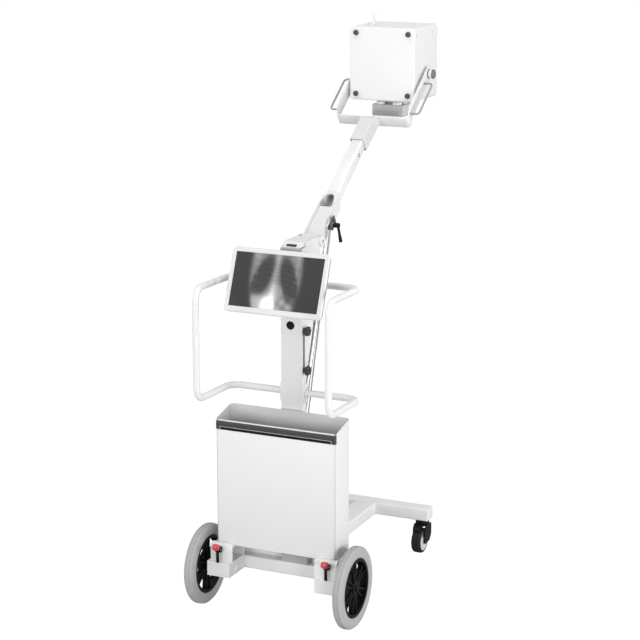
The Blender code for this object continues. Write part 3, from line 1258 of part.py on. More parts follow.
base_frame()
for wheel_name, wheel_side in SIDES:
    rear_bracket("rear_bracket_" + wheel_name, wheel_side)
    stub_axle("stub_axle_" + wheel_name, wheel_side)
    rear_wheel(wheel_name, wheel_side)
    brake_lever(wheel_name, wheel_side)
casters()
detector_bin()
inlet_box()
column()
arm_cheeks()
star_knobs()
push_handle()
monitor()
ARM_JOINT = empty("arm_pivot", (0.0, *PIVOT), CART)
arm(ARM_JOINT)
rod_clamp(ARM_JOINT)
gas_spring()
brake_rod()
yoke(ARM_JOINT)
head(ARM_JOINT)
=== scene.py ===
import json
import math
from collections import namedtuple

import bmesh
import bpy
import numpy as np
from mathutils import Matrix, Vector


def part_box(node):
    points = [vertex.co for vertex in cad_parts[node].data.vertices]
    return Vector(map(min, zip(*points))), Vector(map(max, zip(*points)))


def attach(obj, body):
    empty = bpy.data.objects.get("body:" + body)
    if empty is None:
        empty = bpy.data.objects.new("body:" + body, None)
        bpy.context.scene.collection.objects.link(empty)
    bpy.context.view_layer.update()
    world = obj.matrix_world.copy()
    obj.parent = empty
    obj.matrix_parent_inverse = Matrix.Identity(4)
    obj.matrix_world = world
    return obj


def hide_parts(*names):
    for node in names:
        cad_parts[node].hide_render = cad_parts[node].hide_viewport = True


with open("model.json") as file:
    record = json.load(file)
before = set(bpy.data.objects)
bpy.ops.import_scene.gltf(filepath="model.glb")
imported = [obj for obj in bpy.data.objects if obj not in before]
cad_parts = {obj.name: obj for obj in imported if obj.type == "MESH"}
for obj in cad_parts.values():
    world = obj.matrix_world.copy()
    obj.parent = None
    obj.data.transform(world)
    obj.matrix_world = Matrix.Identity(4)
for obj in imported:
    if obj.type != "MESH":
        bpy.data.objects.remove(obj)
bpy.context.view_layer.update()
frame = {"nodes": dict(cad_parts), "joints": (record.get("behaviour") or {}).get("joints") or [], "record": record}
SCENE = bpy.context.scene
JOINTS = {joint["name"]: joint for joint in frame["joints"]}
BODY_OF = {node: body for body, nodes in frame["record"]["behaviour"]["bodies"].items() for node in nodes}
SIDES = {"left": -1.0, "right": 1.0}
GAP = 0.0003    # running gap that the solids keep between pieces that touch

# A look is a finish: its material and the record's slot that it stands for.
Look = namedtuple("Look", "material slot")


# ---------------------------------------------------------------- places
class Stand:
    """Axes to draw on: a point (a, b, c) lies at the origin plus a times A, b times B and c times C."""

    def __init__(self, origin, a, b, c):
        self.origin = np.asarray(origin, float)
        self.axes = np.array([a, b, c], float)

    def out(self, points):
        return self.origin + np.asarray(points, float) @ self.axes

    def back(self, points):
        return (np.asarray(points, float) - self.origin) @ self.axes.T

    def span(self, node):
        """Lowest and highest corner of a node, measured along these axes."""
        local = self.back(corners_of(node))
        return local.min(0), local.max(0)


def corners_of(node):
    """The corners of a node's mesh, one in each row."""
    mesh = frame["nodes"][node].data
    flat = np.zeros(len(mesh.vertices) * 3)
    mesh.vertices.foreach_get("co", flat)
    return flat.reshape(-1, 3)


X, Y, Z = np.eye(3)


def along_x(origin=(0, 0, 0)):
    return Stand(origin, Y, Z, X)


def along_y(origin=(0, 0, 0)):
    return Stand(origin, X, Z, Y)


def along_z(origin=(0, 0, 0)):
    return Stand(origin, X, Y, Z)


def box(node):
    return tuple(np.array(corner, float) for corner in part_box(node))


def placed(node):
    """Lowest corner, highest corner and middle of a node."""
    low, high = box(node)
    return low, high, (low + high) / 2


def pivot(joint):
    return np.array(JOINTS[joint]["pos_m"], float)


# ---------------------------------------------------------------- surfaces
def rounded(points, radius, steps=5, closed=True):
    """A line of points with each corner turned into an arc of the given radius.

    At a corner, the arc starts the radius over the tangent of half the corner's angle before it. Its
    centre lies the radius over the sine of that half angle along the bisector, and it is read by
    turning evenly from start to end.
    """
    p = np.asarray(points, float)
    count = len(p)
    before = p[np.arange(count) - 1] - p
    after = p[(np.arange(count) + 1) % count] - p
    len_a = np.linalg.norm(before, axis=1)
    len_b = np.linalg.norm(after, axis=1)
    a = before / len_a[:, None]
    b = after / len_b[:, None]
    half = np.arccos(np.clip((a * b).sum(1), -0.999999, 0.999999)) / 2
    reach = np.minimum(np.broadcast_to(radius, count) / np.tan(half), 0.48 * np.minimum(len_a, len_b))
    bisector = a + b
    bisector /= np.linalg.norm(bisector, axis=1)[:, None]
    centre = p + bisector * (reach / np.cos(half))[:, None]
    turn = (math.pi - 2 * half)[:, None, None]
    t = np.linspace(0, 1, steps + 1)[None, :, None]
    start = (p + a * reach[:, None] - centre)[:, None]
    end = (p + b * reach[:, None] - centre)[:, None]
    arcs = centre[:, None] + (np.sin((1 - t) * turn) * start + np.sin(t * turn) * end) / np.sin(turn)
    if closed:
        return arcs.reshape(-1, p.shape[1])
    return np.vstack([p[:1], arcs[1:-1].reshape(-1, p.shape[1]), p[-1:]])


def loft(rings, closed=False):
    """A skin over rings of equal count: row i, column j joins to the next row and column. Open
    ends are closed by a flat face each."""
    rings = np.asarray(rings, float)
    rows, columns = rings.shape[:2]
    i = np.arange(rows if closed else rows - 1)[:, None]
    j = np.arange(columns)[None, :]
    after_i, after_j = (i + 1) % rows, (j + 1) % columns
    quads = np.stack([i * columns + j, i * columns + after_j, after_i * columns + after_j,
                      after_i * columns + j], -1).reshape(-1, 4)
    faces = quads.tolist()
    if not closed:
        faces += [list(range(columns)), list(range((rows - 1) * columns, rows * columns))]
    return rings.reshape(-1, 3), faces


def ring_rows(radius, height, angle):
    """Rings round C: each row has a radius, one for all angles or one for each, and a height."""
    return np.stack(np.broadcast_arrays(radius * np.cos(angle), radius * np.sin(angle), height), -1)


def turned(stand, profile, steps=48, closed=False):
    """A turned shape: each profile point (c, r) becomes a circle of radius r at height c. A point
    on the axis becomes a very small circle, so that no faces meet in a single point."""
    profile = np.asarray(profile, float)
    angle = np.linspace(0, 2 * math.pi, steps, endpoint=False)
    smallest = 0.0002
    radius = np.maximum(profile[:, 1:], smallest)
    return loft(stand.out(ring_rows(radius, profile[:, :1], angle)), closed)


def turned_solid(stand, profile, ease, arc=3, steps=40):
    """A turned shape that is full to its axis, with the corners of its profile eased."""
    return turned(stand, rounded(profile, ease, arc, closed=False), steps)


def turned_ring(stand, section, ease, arc=3, steps=56):
    """A turned ring round its axis, with the corners of its section eased."""
    return turned(stand, rounded(section, ease, arc), steps, closed=True)


def inset(outline, depth):
    """The outline moved inwards: each point goes along the sum of its two edges' normals, over
    one plus their dot product, times the depth."""
    p = np.asarray(outline, float)
    edge = np.roll(p, -1, 0) - p
    edge /= np.linalg.norm(edge, axis=1)[:, None]
    normal = np.stack([-edge[:, 1], edge[:, 0]], -1)
    other = np.roll(normal, 1, 0)
    step = (normal + other) / (1 + (normal * other).sum(1))[:, None]
    return p[None] + np.asarray(depth, float).reshape(-1, 1, 1) * step[None]


def wound_left(outline):
    """The outline turned so that it runs anticlockwise: its signed area is above zero."""
    p = np.asarray(outline, float)
    area = (p[:, 0] * np.roll(p[:, 1], -1) - np.roll(p[:, 0], -1) * p[:, 1]).sum()
    return p if area > 0 else p[::-1]


def quarter_round(size, steps):
    """A quarter round in even turns from its flat face: how far it stands in, which is size times
    one minus the sine, and how far along, which is size times one minus the cosine."""
    t = np.linspace(0, math.pi / 2, steps + 1)
    return size * (1 - np.sin(t)), size * (1 - np.cos(t))


def lifted(flat, heights):
    """Flat rings with each ring's height as their third coordinate."""
    return np.concatenate([flat, np.broadcast_to(heights[:, None, None], flat.shape[:2] + (1,))], -1)


def mirrored(right):
    """A closed section from the half of it on the +C side, which is listed from end to end."""
    right = np.array(right, float)
    left = right * (-1, 1)
    return np.vstack([left[:1], right, left[:0:-1]])


def slab(stand, outline, low, high, edge=0.001, steps=3):
    """A plate from low to high along C whose rims are quarter rounds."""
    depth, level = quarter_round(edge, steps)
    depths = np.concatenate([depth, depth[::-1]])
    heights = np.concatenate([low + level, (high - level)[::-1]])
    return loft(stand.out(lifted(inset(wound_left(outline), depths), heights)))


def hollow_bar(stand, outline, low, high, wall, edge):
    """A tube of any section: rings run up the outer face, over the eased end, down the inner face
    and over the other end."""
    rows = np.array([(0.0, low + edge), (0.0, high - edge), (edge, high), (wall, high), (wall, low),
                     (edge, low)])
    return loft(stand.out(lifted(inset(wound_left(outline), rows[:, 0]), rows[:, 1])), closed=True)


def block(low, high, edge=0.0015, axis="z", corner=0.0):
    """A box with rounded rims; corner rounds the four edges that run along the axis."""
    low, high = np.asarray(low, float), np.asarray(high, float)
    a, b, c, make = {"x": (1, 2, 0, along_x), "y": (0, 2, 1, along_y), "z": (0, 1, 2, along_z)}[axis]
    outline = [(low[a], low[b]), (high[a], low[b]), (high[a], high[b]), (low[a], high[b])]
    outline = rounded(outline, max(corner, edge * 1.05), 5)
    return slab(make(), outline, low[c], high[c], edge)


def oblong(half_a, half_b, radius, centre=(0.0, 0.0), steps=6):
    """A rectangle with round corners."""
    a, b = centre
    return rounded([(a - half_a, b - half_b), (a + half_a, b - half_b), (a + half_a, b + half_b),
                    (a - half_a, b + half_b)], radius, steps)


def frames_along(path):
    """Unit tangents and two cross axes that turn as little as possible along the path."""
    path = np.asarray(path, float)
    tangent = np.gradient(path, axis=0)
    tangent /= np.linalg.norm(tangent, axis=1)[:, None]
    seed = np.eye(3)[np.argmin(np.abs(tangent[0]))]
    across = np.zeros_like(path)
    for k, direction in enumerate(tangent):
        start = seed if k == 0 else across[k - 1]
        across[k] = start - direction * (start @ direction)
        across[k] /= np.linalg.norm(across[k])
    return tangent, across, np.cross(tangent, across)


def swept(path, radius, steps=24, rim=0.0):
    """A round rod along a path: a circle in the plane across it at each point. A rim adds a quarter
    round of that size past each end."""
    path = np.asarray(path, float)
    radius = np.broadcast_to(radius, len(path)).astype(float)
    tangent, a, b = frames_along(path)
    if rim:
        shrink, along = [part[:-1] for part in quarter_round(rim, 3)]
        past = (rim - along)[:, None]
        path = np.vstack([path[0] - tangent[0] * past, path, path[-1] + tangent[-1] * past[::-1]])
        radius = np.concatenate([radius[0] - shrink, radius, radius[-1] - shrink[::-1]])
        spread = np.r_[[0] * len(past), np.arange(len(a)), [len(a) - 1] * len(past)]
        a, b = a[spread], b[spread]
    angle = np.linspace(0, 2 * math.pi, steps, endpoint=False)[None, :, None]
    circle = np.cos(angle) * a[:, None] + np.sin(angle) * b[:, None]
    return loft(path[:, None] + circle * radius[:, None, None])


def lobed(radius, lobes, depth, steps):
    """Radius by angle of a star grip: radius less depth times half of one minus a cosine that
    runs through one wave for each lobe."""
    angle = np.linspace(0, 2 * math.pi, steps, endpoint=False)
    return angle, radius - depth * (1 - np.cos(lobes * angle)) / 2


# ---------------------------------------------------------------- pieces
def add(name, shapes, look, body, replaces=(), crease=38.0):
    """Puts one or more skins into one object, turns their faces outwards and lets it ride."""
    if isinstance(shapes, tuple):
        shapes = [shapes]
    vertices, faces, start = [], [], 0
    for points, skin in shapes:
        vertices.append(points)
        faces += [[start + k for k in face] for face in skin]
        start += len(points)
    mesh = bpy.data.meshes.new(name)
    mesh.from_pydata(np.vstack(vertices).tolist(), [], faces)
    bm = bmesh.new()
    bm.from_mesh(mesh)
    bmesh.ops.recalc_face_normals(bm, faces=bm.faces)
    bm.to_mesh(mesh)
    bm.free()
    return settle(name, mesh, look, body, replaces, crease)


def settle(name, mesh, look, body, replaces, crease):
    """Makes the mesh an object with its look, says what it rides on, and hides the pieces that it replaces."""
    mesh.shade_smooth()
    mesh.set_sharp_from_angle(angle=math.radians(crease))
    mesh.materials.clear()
    mesh.materials.append(look.material)
    made = bpy.data.objects.new(name, mesh)
    SCENE.collection.objects.link(made)
    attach(made, body)
    if replaces:
        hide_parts(*replaces)
    return made


def eased(node, look, width=0.001, segments=2, crease=38.0):
    """A copy of a node with its doubles merged, its flat faces joined and its edges eased."""
    same_place, same_plane, sharp = 0.00002, math.radians(1.0), math.radians(40)
    mesh = frame["nodes"][node].data.copy()
    mesh.name = node + "_eased"
    bm = bmesh.new()
    bm.from_mesh(mesh)
    bmesh.ops.remove_doubles(bm, verts=bm.verts, dist=same_place)
    bmesh.ops.recalc_face_normals(bm, faces=bm.faces)
    bmesh.ops.dissolve_limit(bm, angle_limit=same_plane, verts=bm.verts, edges=bm.edges)
    bm.to_mesh(mesh)
    bm.free()
    made = settle(node + "_eased", mesh, look, BODY_OF[node], (node,), crease)
    ease = made.modifiers.new("ease", "BEVEL")
    ease.width = width
    ease.segments = segments
    ease.limit_method = "ANGLE"
    ease.angle_limit = sharp
    ease.harden_normals = True
    ease.use_clamp_overlap = True
    return made


# ---------------------------------------------------------------- finishes
def fed(tree, made, sockets):
    """A shader node whose sockets are set, each to a plain value or to the output that feeds it."""
    for name, value in sockets.items():
        if isinstance(value, bpy.types.NodeSocket):
            tree.links.new(value, made.inputs[name])
        else:
            made.inputs[name].default_value = value
    return made


def put(tree, kind, sockets):
    """A new shader node with its sockets set."""
    return fed(tree, tree.nodes.new(kind), sockets)


def reckon(tree, kind, operation, *values):
    """A node that works out one operation on one or two values, and its output."""
    made = tree.nodes.new(kind)
    made.operation = operation
    return fed(tree, made, dict(enumerate(values))).outputs[0]


def colour_mix(tree, factor, first, second, blend="MIX"):
    """Two colours mixed by a factor, from the first to the second."""
    made = tree.nodes.new("ShaderNodeMix")
    made.data_type = "RGBA"
    made.blend_type = blend
    return fed(tree, made, {"Factor": factor, "A": first, "B": second}).outputs["Result"]


def noise(tree, place, scale, detail=2.0):
    """Cloudy noise between zero and one: scale is how many clouds lie along a metre."""
    return put(tree, "ShaderNodeTexNoise", {"Vector": place, "Scale": scale, "Detail": detail}).outputs["Fac"]


def own_place(tree):
    """The point on the piece, measured in its own space."""
    return tree.nodes.new("ShaderNodeTexCoord").outputs["Object"]


def new_finish(name):
    """A new material, its node tree and its shader."""
    made = bpy.data.materials.new(name)
    made.use_nodes = True
    tree = made.node_tree
    return made, tree, tree.nodes["Principled BSDF"]


def finish_of(name, slot, colour, roughness, metallic=0.0, grain=900.0, relief=0.05, tone=0.03,
              tone_scale=6.0, uneven=0.06, stretch=None, coat=0.0, specular=0.5):
    """A finish in three layers: slow noise shades the colour, a second slow noise makes the gloss
    uneven, and fine noise gives the relief. stretch draws the noises out along one axis."""
    made, tree, shader = new_finish(name)
    fed(tree, shader, {"Metallic": metallic, "Specular IOR Level": specular})
    if coat:
        fed(tree, shader, {"Coat Weight": coat, "Coat Roughness": 0.08})
    place = own_place(tree)
    if stretch:
        place = put(tree, "ShaderNodeMapping", {"Vector": place, "Scale": stretch}).outputs["Vector"]
    darker = (*[c * (1 - tone) for c in colour], 1.0)
    paler = (*[min(c * (1 + tone), 1.0) for c in colour], 1.0)
    shade = colour_mix(tree, noise(tree, place, tone_scale, 4.0), darker, paler)
    patches = noise(tree, place, tone_scale * 7, 3.0)
    gloss = put(tree, "ShaderNodeMapRange", {"Value": patches, "From Min": 0.3, "From Max": 0.7,
                                             "To Min": roughness - uneven, "To Max": roughness + uneven})
    height = 0.0004
    bump = put(tree, "ShaderNodeBump", {"Height": noise(tree, place, grain), "Strength": relief,
                                        "Distance": height})
    fed(tree, shader, {"Base Color": shade, "Roughness": gloss.outputs["Result"],
                       "Normal": bump.outputs["Normal"]})
    return Look(made, slot)


def shade_inside_box(look, low, high, colour):
    """Paints shade into a finish: it gives the finish a second colour where the point lies inside a box: there the
    distance from the box's middle, less half its size, is below zero along all three axes."""
    tree = look.material.node_tree
    shader = tree.nodes["Principled BSDF"]
    outside = shader.inputs["Base Color"].links[0].from_socket
    vector, number = "ShaderNodeVectorMath", "ShaderNodeMath"
    from_middle = reckon(tree, vector, "SUBTRACT", own_place(tree), (low + high) / 2)
    past = reckon(tree, vector, "SUBTRACT", reckon(tree, vector, "ABSOLUTE", from_middle), (high - low) / 2)
    x, y, z = put(tree, "ShaderNodeSeparateXYZ", {"Vector": past}).outputs
    largest = reckon(tree, number, "MAXIMUM", reckon(tree, number, "MAXIMUM", x, y), z)
    within = reckon(tree, number, "LESS_THAN", largest, 0.0)
    fed(tree, shader, {"Base Color": colour_mix(tree, within, outside, (*colour, 1.0))})
    return look


def film_finish():
    """The screen's finish: its colour is the picture worked out on the sheet's own points, under
    a faint grain and a smooth front layer."""
    made, tree, shader = new_finish("lit_screen")
    fed(tree, shader, {"Roughness": 0.3, "Specular IOR Level": 0.25})
    picture = tree.nodes.new("ShaderNodeAttribute")
    picture.attribute_name = "film"
    grain = noise(tree, own_place(tree), 1400.0)
    fed(tree, shader, {"Base Color": colour_mix(tree, 0.10, picture.outputs["Color"], grain, "OVERLAY")})
    return Look(made, "screen_glass")


def satin_coat(name, colour):
    """Satin powder coat over sheet metal and castings."""
    return finish_of(name, "white_powder_coat", colour, 0.42, grain=1100.0, relief=0.09, tone=0.012)


COAT_COLOUR = (0.82, 0.82, 0.815)
WHITE = satin_coat("satin_white_powder_coat", COAT_COLOUR)
TUBE_WHITE = finish_of("tube_white_powder_coat", "white_powder_coat", (0.85, 0.85, 0.845), 0.34,
                       grain=1100.0, relief=0.05, tone=0.010)
# a darker copy of the white coat: its darker grey is painted shade on the arm's neck
SHADED_NECK_COAT = satin_coat("satin_neck_powder_coat", (0.72, 0.72, 0.715))
SHELL = finish_of("white_moulded_shell", "white_moulding", (0.86, 0.86, 0.86), 0.36, grain=1600.0,
                  relief=0.06, tone=0.008)
BEZEL = finish_of("white_screen_surround", "white_moulding", (0.76, 0.77, 0.785), 0.30, grain=1500.0,
                  relief=0.03, tone=0.008, uneven=0.03)
TYRE = finish_of("grey_tyre_rubber", "grey_tyre", (0.42, 0.42, 0.425), 0.72, grain=700.0, relief=0.22,
                 tone=0.07, tone_scale=22.0, uneven=0.1)
BLACK = finish_of("black_moulded_plastic", "black_plastic", (0.006, 0.006, 0.0065), 0.50, grain=1300.0,
                  relief=0.16, tone=0.18, tone_scale=30.0, uneven=0.08, specular=0.12)
TRIM = finish_of("dark_ribbed_edge_trim", "black_plastic", (0.034, 0.034, 0.036), 0.48, grain=1500.0,
                 relief=0.18, tone=0.1, tone_scale=24.0)
KNOB = finish_of("dark_grip_plastic", "knob_plastic", (0.045, 0.045, 0.047), 0.5, grain=1200.0,
                 relief=0.2, tone=0.12, tone_scale=60.0, specular=0.3)
RUBBER = finish_of("black_caster_rubber", "caster_rubber", (0.010, 0.010, 0.0105), 0.62, grain=900.0,
                   relief=0.25, tone=0.2, tone_scale=40.0, uneven=0.1, specular=0.22)
FOOT = finish_of("soft_black_foot", "black_rubber", (0.06, 0.06, 0.06), 0.6, grain=1400.0, relief=0.15,
                 tone=0.15, tone_scale=80.0)
DARK = finish_of("dark_grey_moulded_case", "dark_grey_plastic", (0.16, 0.16, 0.165), 0.46, grain=1500.0,
                 relief=0.16, tone=0.06, tone_scale=20.0)
GREY = finish_of("mid_grey_limiter_case", "mid_grey_plastic", (0.57, 0.57, 0.575), 0.44, grain=1500.0,
                 relief=0.1, tone=0.04, tone_scale=18.0)
LIGHT = finish_of("pale_grey_disc", "light_plastic", (0.66, 0.66, 0.67), 0.42, grain=1300.0,
                  relief=0.08, tone=0.03, tone_scale=30.0)
RED = finish_of("red_lever_grip", "red_plastic", (0.60, 0.03, 0.045), 0.3, grain=1500.0, relief=0.08,
                tone=0.06, tone_scale=60.0, coat=0.3)
CLAMP = finish_of("dark_clamp_casting", "dark_grey_plastic", (0.085, 0.085, 0.088), 0.5, grain=1200.0,
                  relief=0.2, tone=0.08, tone_scale=40.0)
INLET = finish_of("pale_grey_inlet_case", "light_plastic", (0.44, 0.44, 0.445), 0.5, grain=1500.0,
                  relief=0.12, tone=0.04, tone_scale=24.0)
PANEL = finish_of("grey_limiter_panel", "mid_grey_plastic", (0.47, 0.47, 0.475), 0.4, grain=1500.0,
                  relief=0.06, tone=0.04, tone_scale=24.0)
BOW = finish_of("grey_grip_sleeve", "mid_grey_plastic", (0.34, 0.34, 0.345), 0.4, grain=1500.0, relief=0.1,
                tone=0.05, tone_scale=40.0)
STEEL = finish_of("drawn_bright_steel", "bright_steel", (0.40, 0.405, 0.41), 0.30, metallic=1.0,
                  grain=260.0, relief=0.05, tone=0.04, tone_scale=40.0, stretch=(1.0, 1.0, 0.06))
CAST = finish_of("cast_aluminium_tank", "cast_aluminium", (0.70, 0.70, 0.71), 0.45, metallic=1.0,
                 grain=500.0, relief=0.3, tone=0.05)
WINDOW = finish_of("dark_display_window", "screen_glass", (0.012, 0.012, 0.014), 0.12, grain=1500.0,
                   relief=0.01, tone=0.1, uneven=0.03, coat=0.4)
FILM = film_finish()


# ---------------------------------------------------------------- base frame
def base_frame():
    """The three square tubes, and the inlet's case with ribs across its face."""
    tube_rim, tube_corner = 0.0012, 0.006
    for node, axis in (("rear_beam", "x"), ("front_beam", "x"), ("long_beam", "y")):
        add(node + "_tube", block(*box(node), tube_rim, axis, tube_corner), TUBE_WHITE, "cart", (node,))
    low, high = box("inlet_box")
    shapes = [block(low, high, 0.0025, "z", 0.004)]
    rise = high[2] - low[2]
    margin, proud, rib_tall = 0.008, 0.0006, 0.0022
    rib = np.array([high[0] - low[0] - 2 * margin, 2 * proud, rib_tall])
    for share in (0.32, 0.56, 0.80):
        corner = np.array([low[0] + margin, low[1] - proud, low[2] + rise * share])
        shapes.append(block(corner, corner + rib, 0.0005, "x"))
    add("inlet_case", shapes, INLET, "cart", ("inlet_box",))


def rear_brackets():
    """On each side the bracket, the axle's shaft, the plug on its inner end, and its domed cap
    outside the wheel."""
    shaft_r, cap_r, cap_long = 0.008, 0.0125, 0.006
    for name, side in SIDES.items():
        eased("rear_bracket_" + name, WHITE, 0.0035, 3)
        low, high, middle = placed("stub_axle_" + name)
        inner, outer = (low[0], high[0]) if side > 0 else (high[0], low[0])
        under_cap = outer - side * cap_long
        stand = along_x((0, middle[1], middle[2]))
        shaft = [(inner, 0.0), (inner, shaft_r), (under_cap, shaft_r)]
        add("axle_shaft_" + name, turned(stand, shaft, 32), STEEL, "cart", ("stub_axle_" + name,))
        seat_low, seat_high = box("rear_bracket_" + name)
        face = seat_low[0] - GAP if side > 0 else seat_high[0] + GAP
        plug = [(inner, 0.0), (inner, cap_r), (face, cap_r), (face, 0.0)]
        add("axle_plug_" + name, turned_solid(stand, plug, 0.0002, 2), WHITE, "cart")
        cap = [(under_cap, shaft_r), (under_cap, cap_r), (outer - side * cap_long / 3, cap_r * 0.86),
               (outer, cap_r * 0.45), (outer, 0.0)]
        add("axle_cap_" + name, turned_solid(stand, cap, 0.0012, 4), BLACK, "cart")


# ---------------------------------------------------------------- rear wheels
def tyre_profile(half, crown, bead):
    """Half of the tyre's section from the bead out to the middle rib, then mirrored: sidewall,
    shoulder groove, and a tread with a groove beside its middle rib."""
    wing = [(half - 0.0050, bead), (half - 0.0012, bead + 0.0035), (half, bead + 0.0110),
            (half, crown - 0.0175), (half - 0.0008, crown - 0.0128), (half - 0.0024, crown - 0.0118),
            (half - 0.0020, crown - 0.0098), (half - 0.0034, crown - 0.0058),
            (half - 0.0078, crown - 0.0014), (half - 0.0108, crown - 0.0004),
            (half - 0.0116, crown - 0.0022), (half - 0.0136, crown - 0.0022), (half - 0.0144, crown)]
    wing = np.array(wing)
    return rounded(np.vstack([wing, (wing * (-1, 1))[::-1]]), 0.0016, 3)


def rear_wheels():
    """On each side a tyre with its own section round a spoked rim."""
    for name in SIDES:
        body = "wheel_" + name
        low, high, middle = placed("tyre_" + name)
        stand = along_x(middle)
        crown, half = (high[2] - low[2]) / 2, (high[0] - low[0]) / 2
        rim_low, rim_high = box("rim_" + name)
        rim = (rim_high[2] - rim_low[2]) / 2
        tyre = turned(stand, tyre_profile(half, crown, rim + GAP), 120, closed=True)
        add("tyre_skin_" + name, tyre, TYRE, body, ("tyre_" + name,), crease=50)
        add("rim_spider_" + name, rim_shapes(stand, rim, half - 0.003), BLACK, body, ("rim_" + name,))


def rim_shapes(stand, outer, half):
    """A band with turned-in lips, a hub with a disc round it, and twelve spokes in pairs that spread
    towards the band."""
    inner = outer - 0.011
    lip = 0.0045
    band = mirrored([(half, outer), (half, inner), (half - lip, inner - 0.0005),
                     (half - lip - 0.002, inner + 0.005)])
    hub, bore, reach = 0.024, 0.0085, 0.016
    barrel = mirrored([(reach, bore), (reach, hub * 0.62), (reach - 0.003, hub * 0.72),
                       (reach - 0.004, hub)])
    disc_r, disc_half, sunk = 0.062, 0.0025, 0.002
    disc = mirrored([(disc_half, hub - sunk), (disc_half, disc_r)])
    shapes = [turned_ring(stand, band, 0.0009, 3, 96), turned_ring(stand, barrel, 0.0009, 3, 56),
              turned_ring(stand, disc, 0.0008, 2, 72)]
    pairs, width, thick, ease = 6, 0.0070, 0.0095, 0.0018
    for turn in 2 * math.pi * (np.arange(pairs) + 0.5) / pairs:
        radial = np.array([math.cos(turn), math.sin(turn)])
        across = np.array([-radial[1], radial[0]])
        for pick in (-1, 1):
            near = radial * (hub - sunk) + across * pick * width * 0.75
            far = radial * (inner + 0.004) + across * pick * width * 2.1
            edge = np.array([-(far - near)[1], (far - near)[0]])
            edge *= width / 2 / np.linalg.norm(edge)
            quad = [near + edge * 1.25, near - edge * 1.25, far - edge, far + edge]
            shapes.append(slab(stand, rounded(quad, ease, 3), -thick, thick, ease))
    return shapes


# ---------------------------------------------------------------- brake levers
def brake_levers():
    """On each side a lever with a ring round its pin, a toe below, and a stem that carries the
    round grip."""
    half, radius, bore = 0.011, 0.011, 0.0045
    toe_half, stem_half, grip_r = 0.0056, 0.0058, 0.0125
    for name in SIDES:
        body = "brake_" + name
        hub = pivot("brake_" + name)
        low, high = box("brake_lever_" + name)
        stand = along_x(hub)
        ring = mirrored([(half, bore), (half, radius)])
        reach = hub[2] - low[2]
        toe = [(-radius + 0.0005, -0.004), (-radius + 0.007, -0.004), (-radius + 0.0055, -reach * 0.45),
               (-radius + 0.0060, -reach + 0.001), (-radius + 0.0005, -reach), (-radius, -reach * 0.5)]
        grip = np.array([low[1] + grip_r, high[2] - grip_r]) - hub[1:]
        along = grip / np.linalg.norm(grip)
        across = np.array([-along[1], along[0]]) * stem_half
        root, end = along * (radius - 0.003), grip - along * 0.004
        stem = [root + across, root - across, end - across, end + across]
        shapes = [turned_ring(stand, ring, 0.0016, 4, 40),
                  slab(stand, rounded(toe, 0.0018, 4), -toe_half, toe_half, 0.0016),
                  slab(stand, rounded(stem, 0.0015, 3), -stem_half, stem_half, 0.0015)]
        add("brake_arm_" + name, shapes, BLACK, body, ("brake_lever_" + name,))
        grip_stand = along_x((hub[0], hub[1] + grip[0], hub[2] + grip[1]))
        left, right = -0.007, high[0] - hub[0]
        pill = [(left, 0.0), (left, grip_r * 0.84), ((left + right) / 2, grip_r), (right, grip_r * 0.90),
                (right, 0.0)]
        add("brake_grip_" + name, turned_solid(grip_stand, pill, 0.0048, 6, 48), RED, body)


# ---------------------------------------------------------------- casters
def casters():
    """On each side the fork and the pedal, a tread with a crowned face, and a disc that is sunk
    between its hub and its rim."""
    hub, bore, boss = 0.0395, 0.0053, 0.0125
    for name in SIDES:
        eased("caster_fork_" + name, BLACK, 0.0009)
        eased("caster_pedal_" + name, BLACK, 0.0012, 3)
        body = "caster_wheel_" + name
        low, high = box(body)
        radius, half = (high[2] - low[2]) / 2, (high[0] - low[0]) / 2
        stand = along_x(pivot("caster_spin_" + name))
        crown = [(half, hub), (half, radius - 0.009), (half - 0.003, radius - 0.0025),
                 (half - 0.009, radius)]
        tread = mirrored(crown)
        add("caster_tread_" + name, turned_ring(stand, tread, 0.0022, 4, 80), RUBBER, body, (body,))
        edge = hub - GAP
        web = [(half - 0.0008, bore), (half - 0.0008, boss), (half - 0.0050, boss + 0.002),
               (half - 0.0050, edge - 0.0050), (half - 0.0012, edge - 0.0022), (half - 0.0012, edge)]
        add("caster_disc_" + name, turned_ring(stand, mirrored(web), 0.0009, 3, 64), LIGHT, body)


# ---------------------------------------------------------------- bin
RIM_SLOPE = 0.028 / 0.126     # how fast the rim climbs towards the column


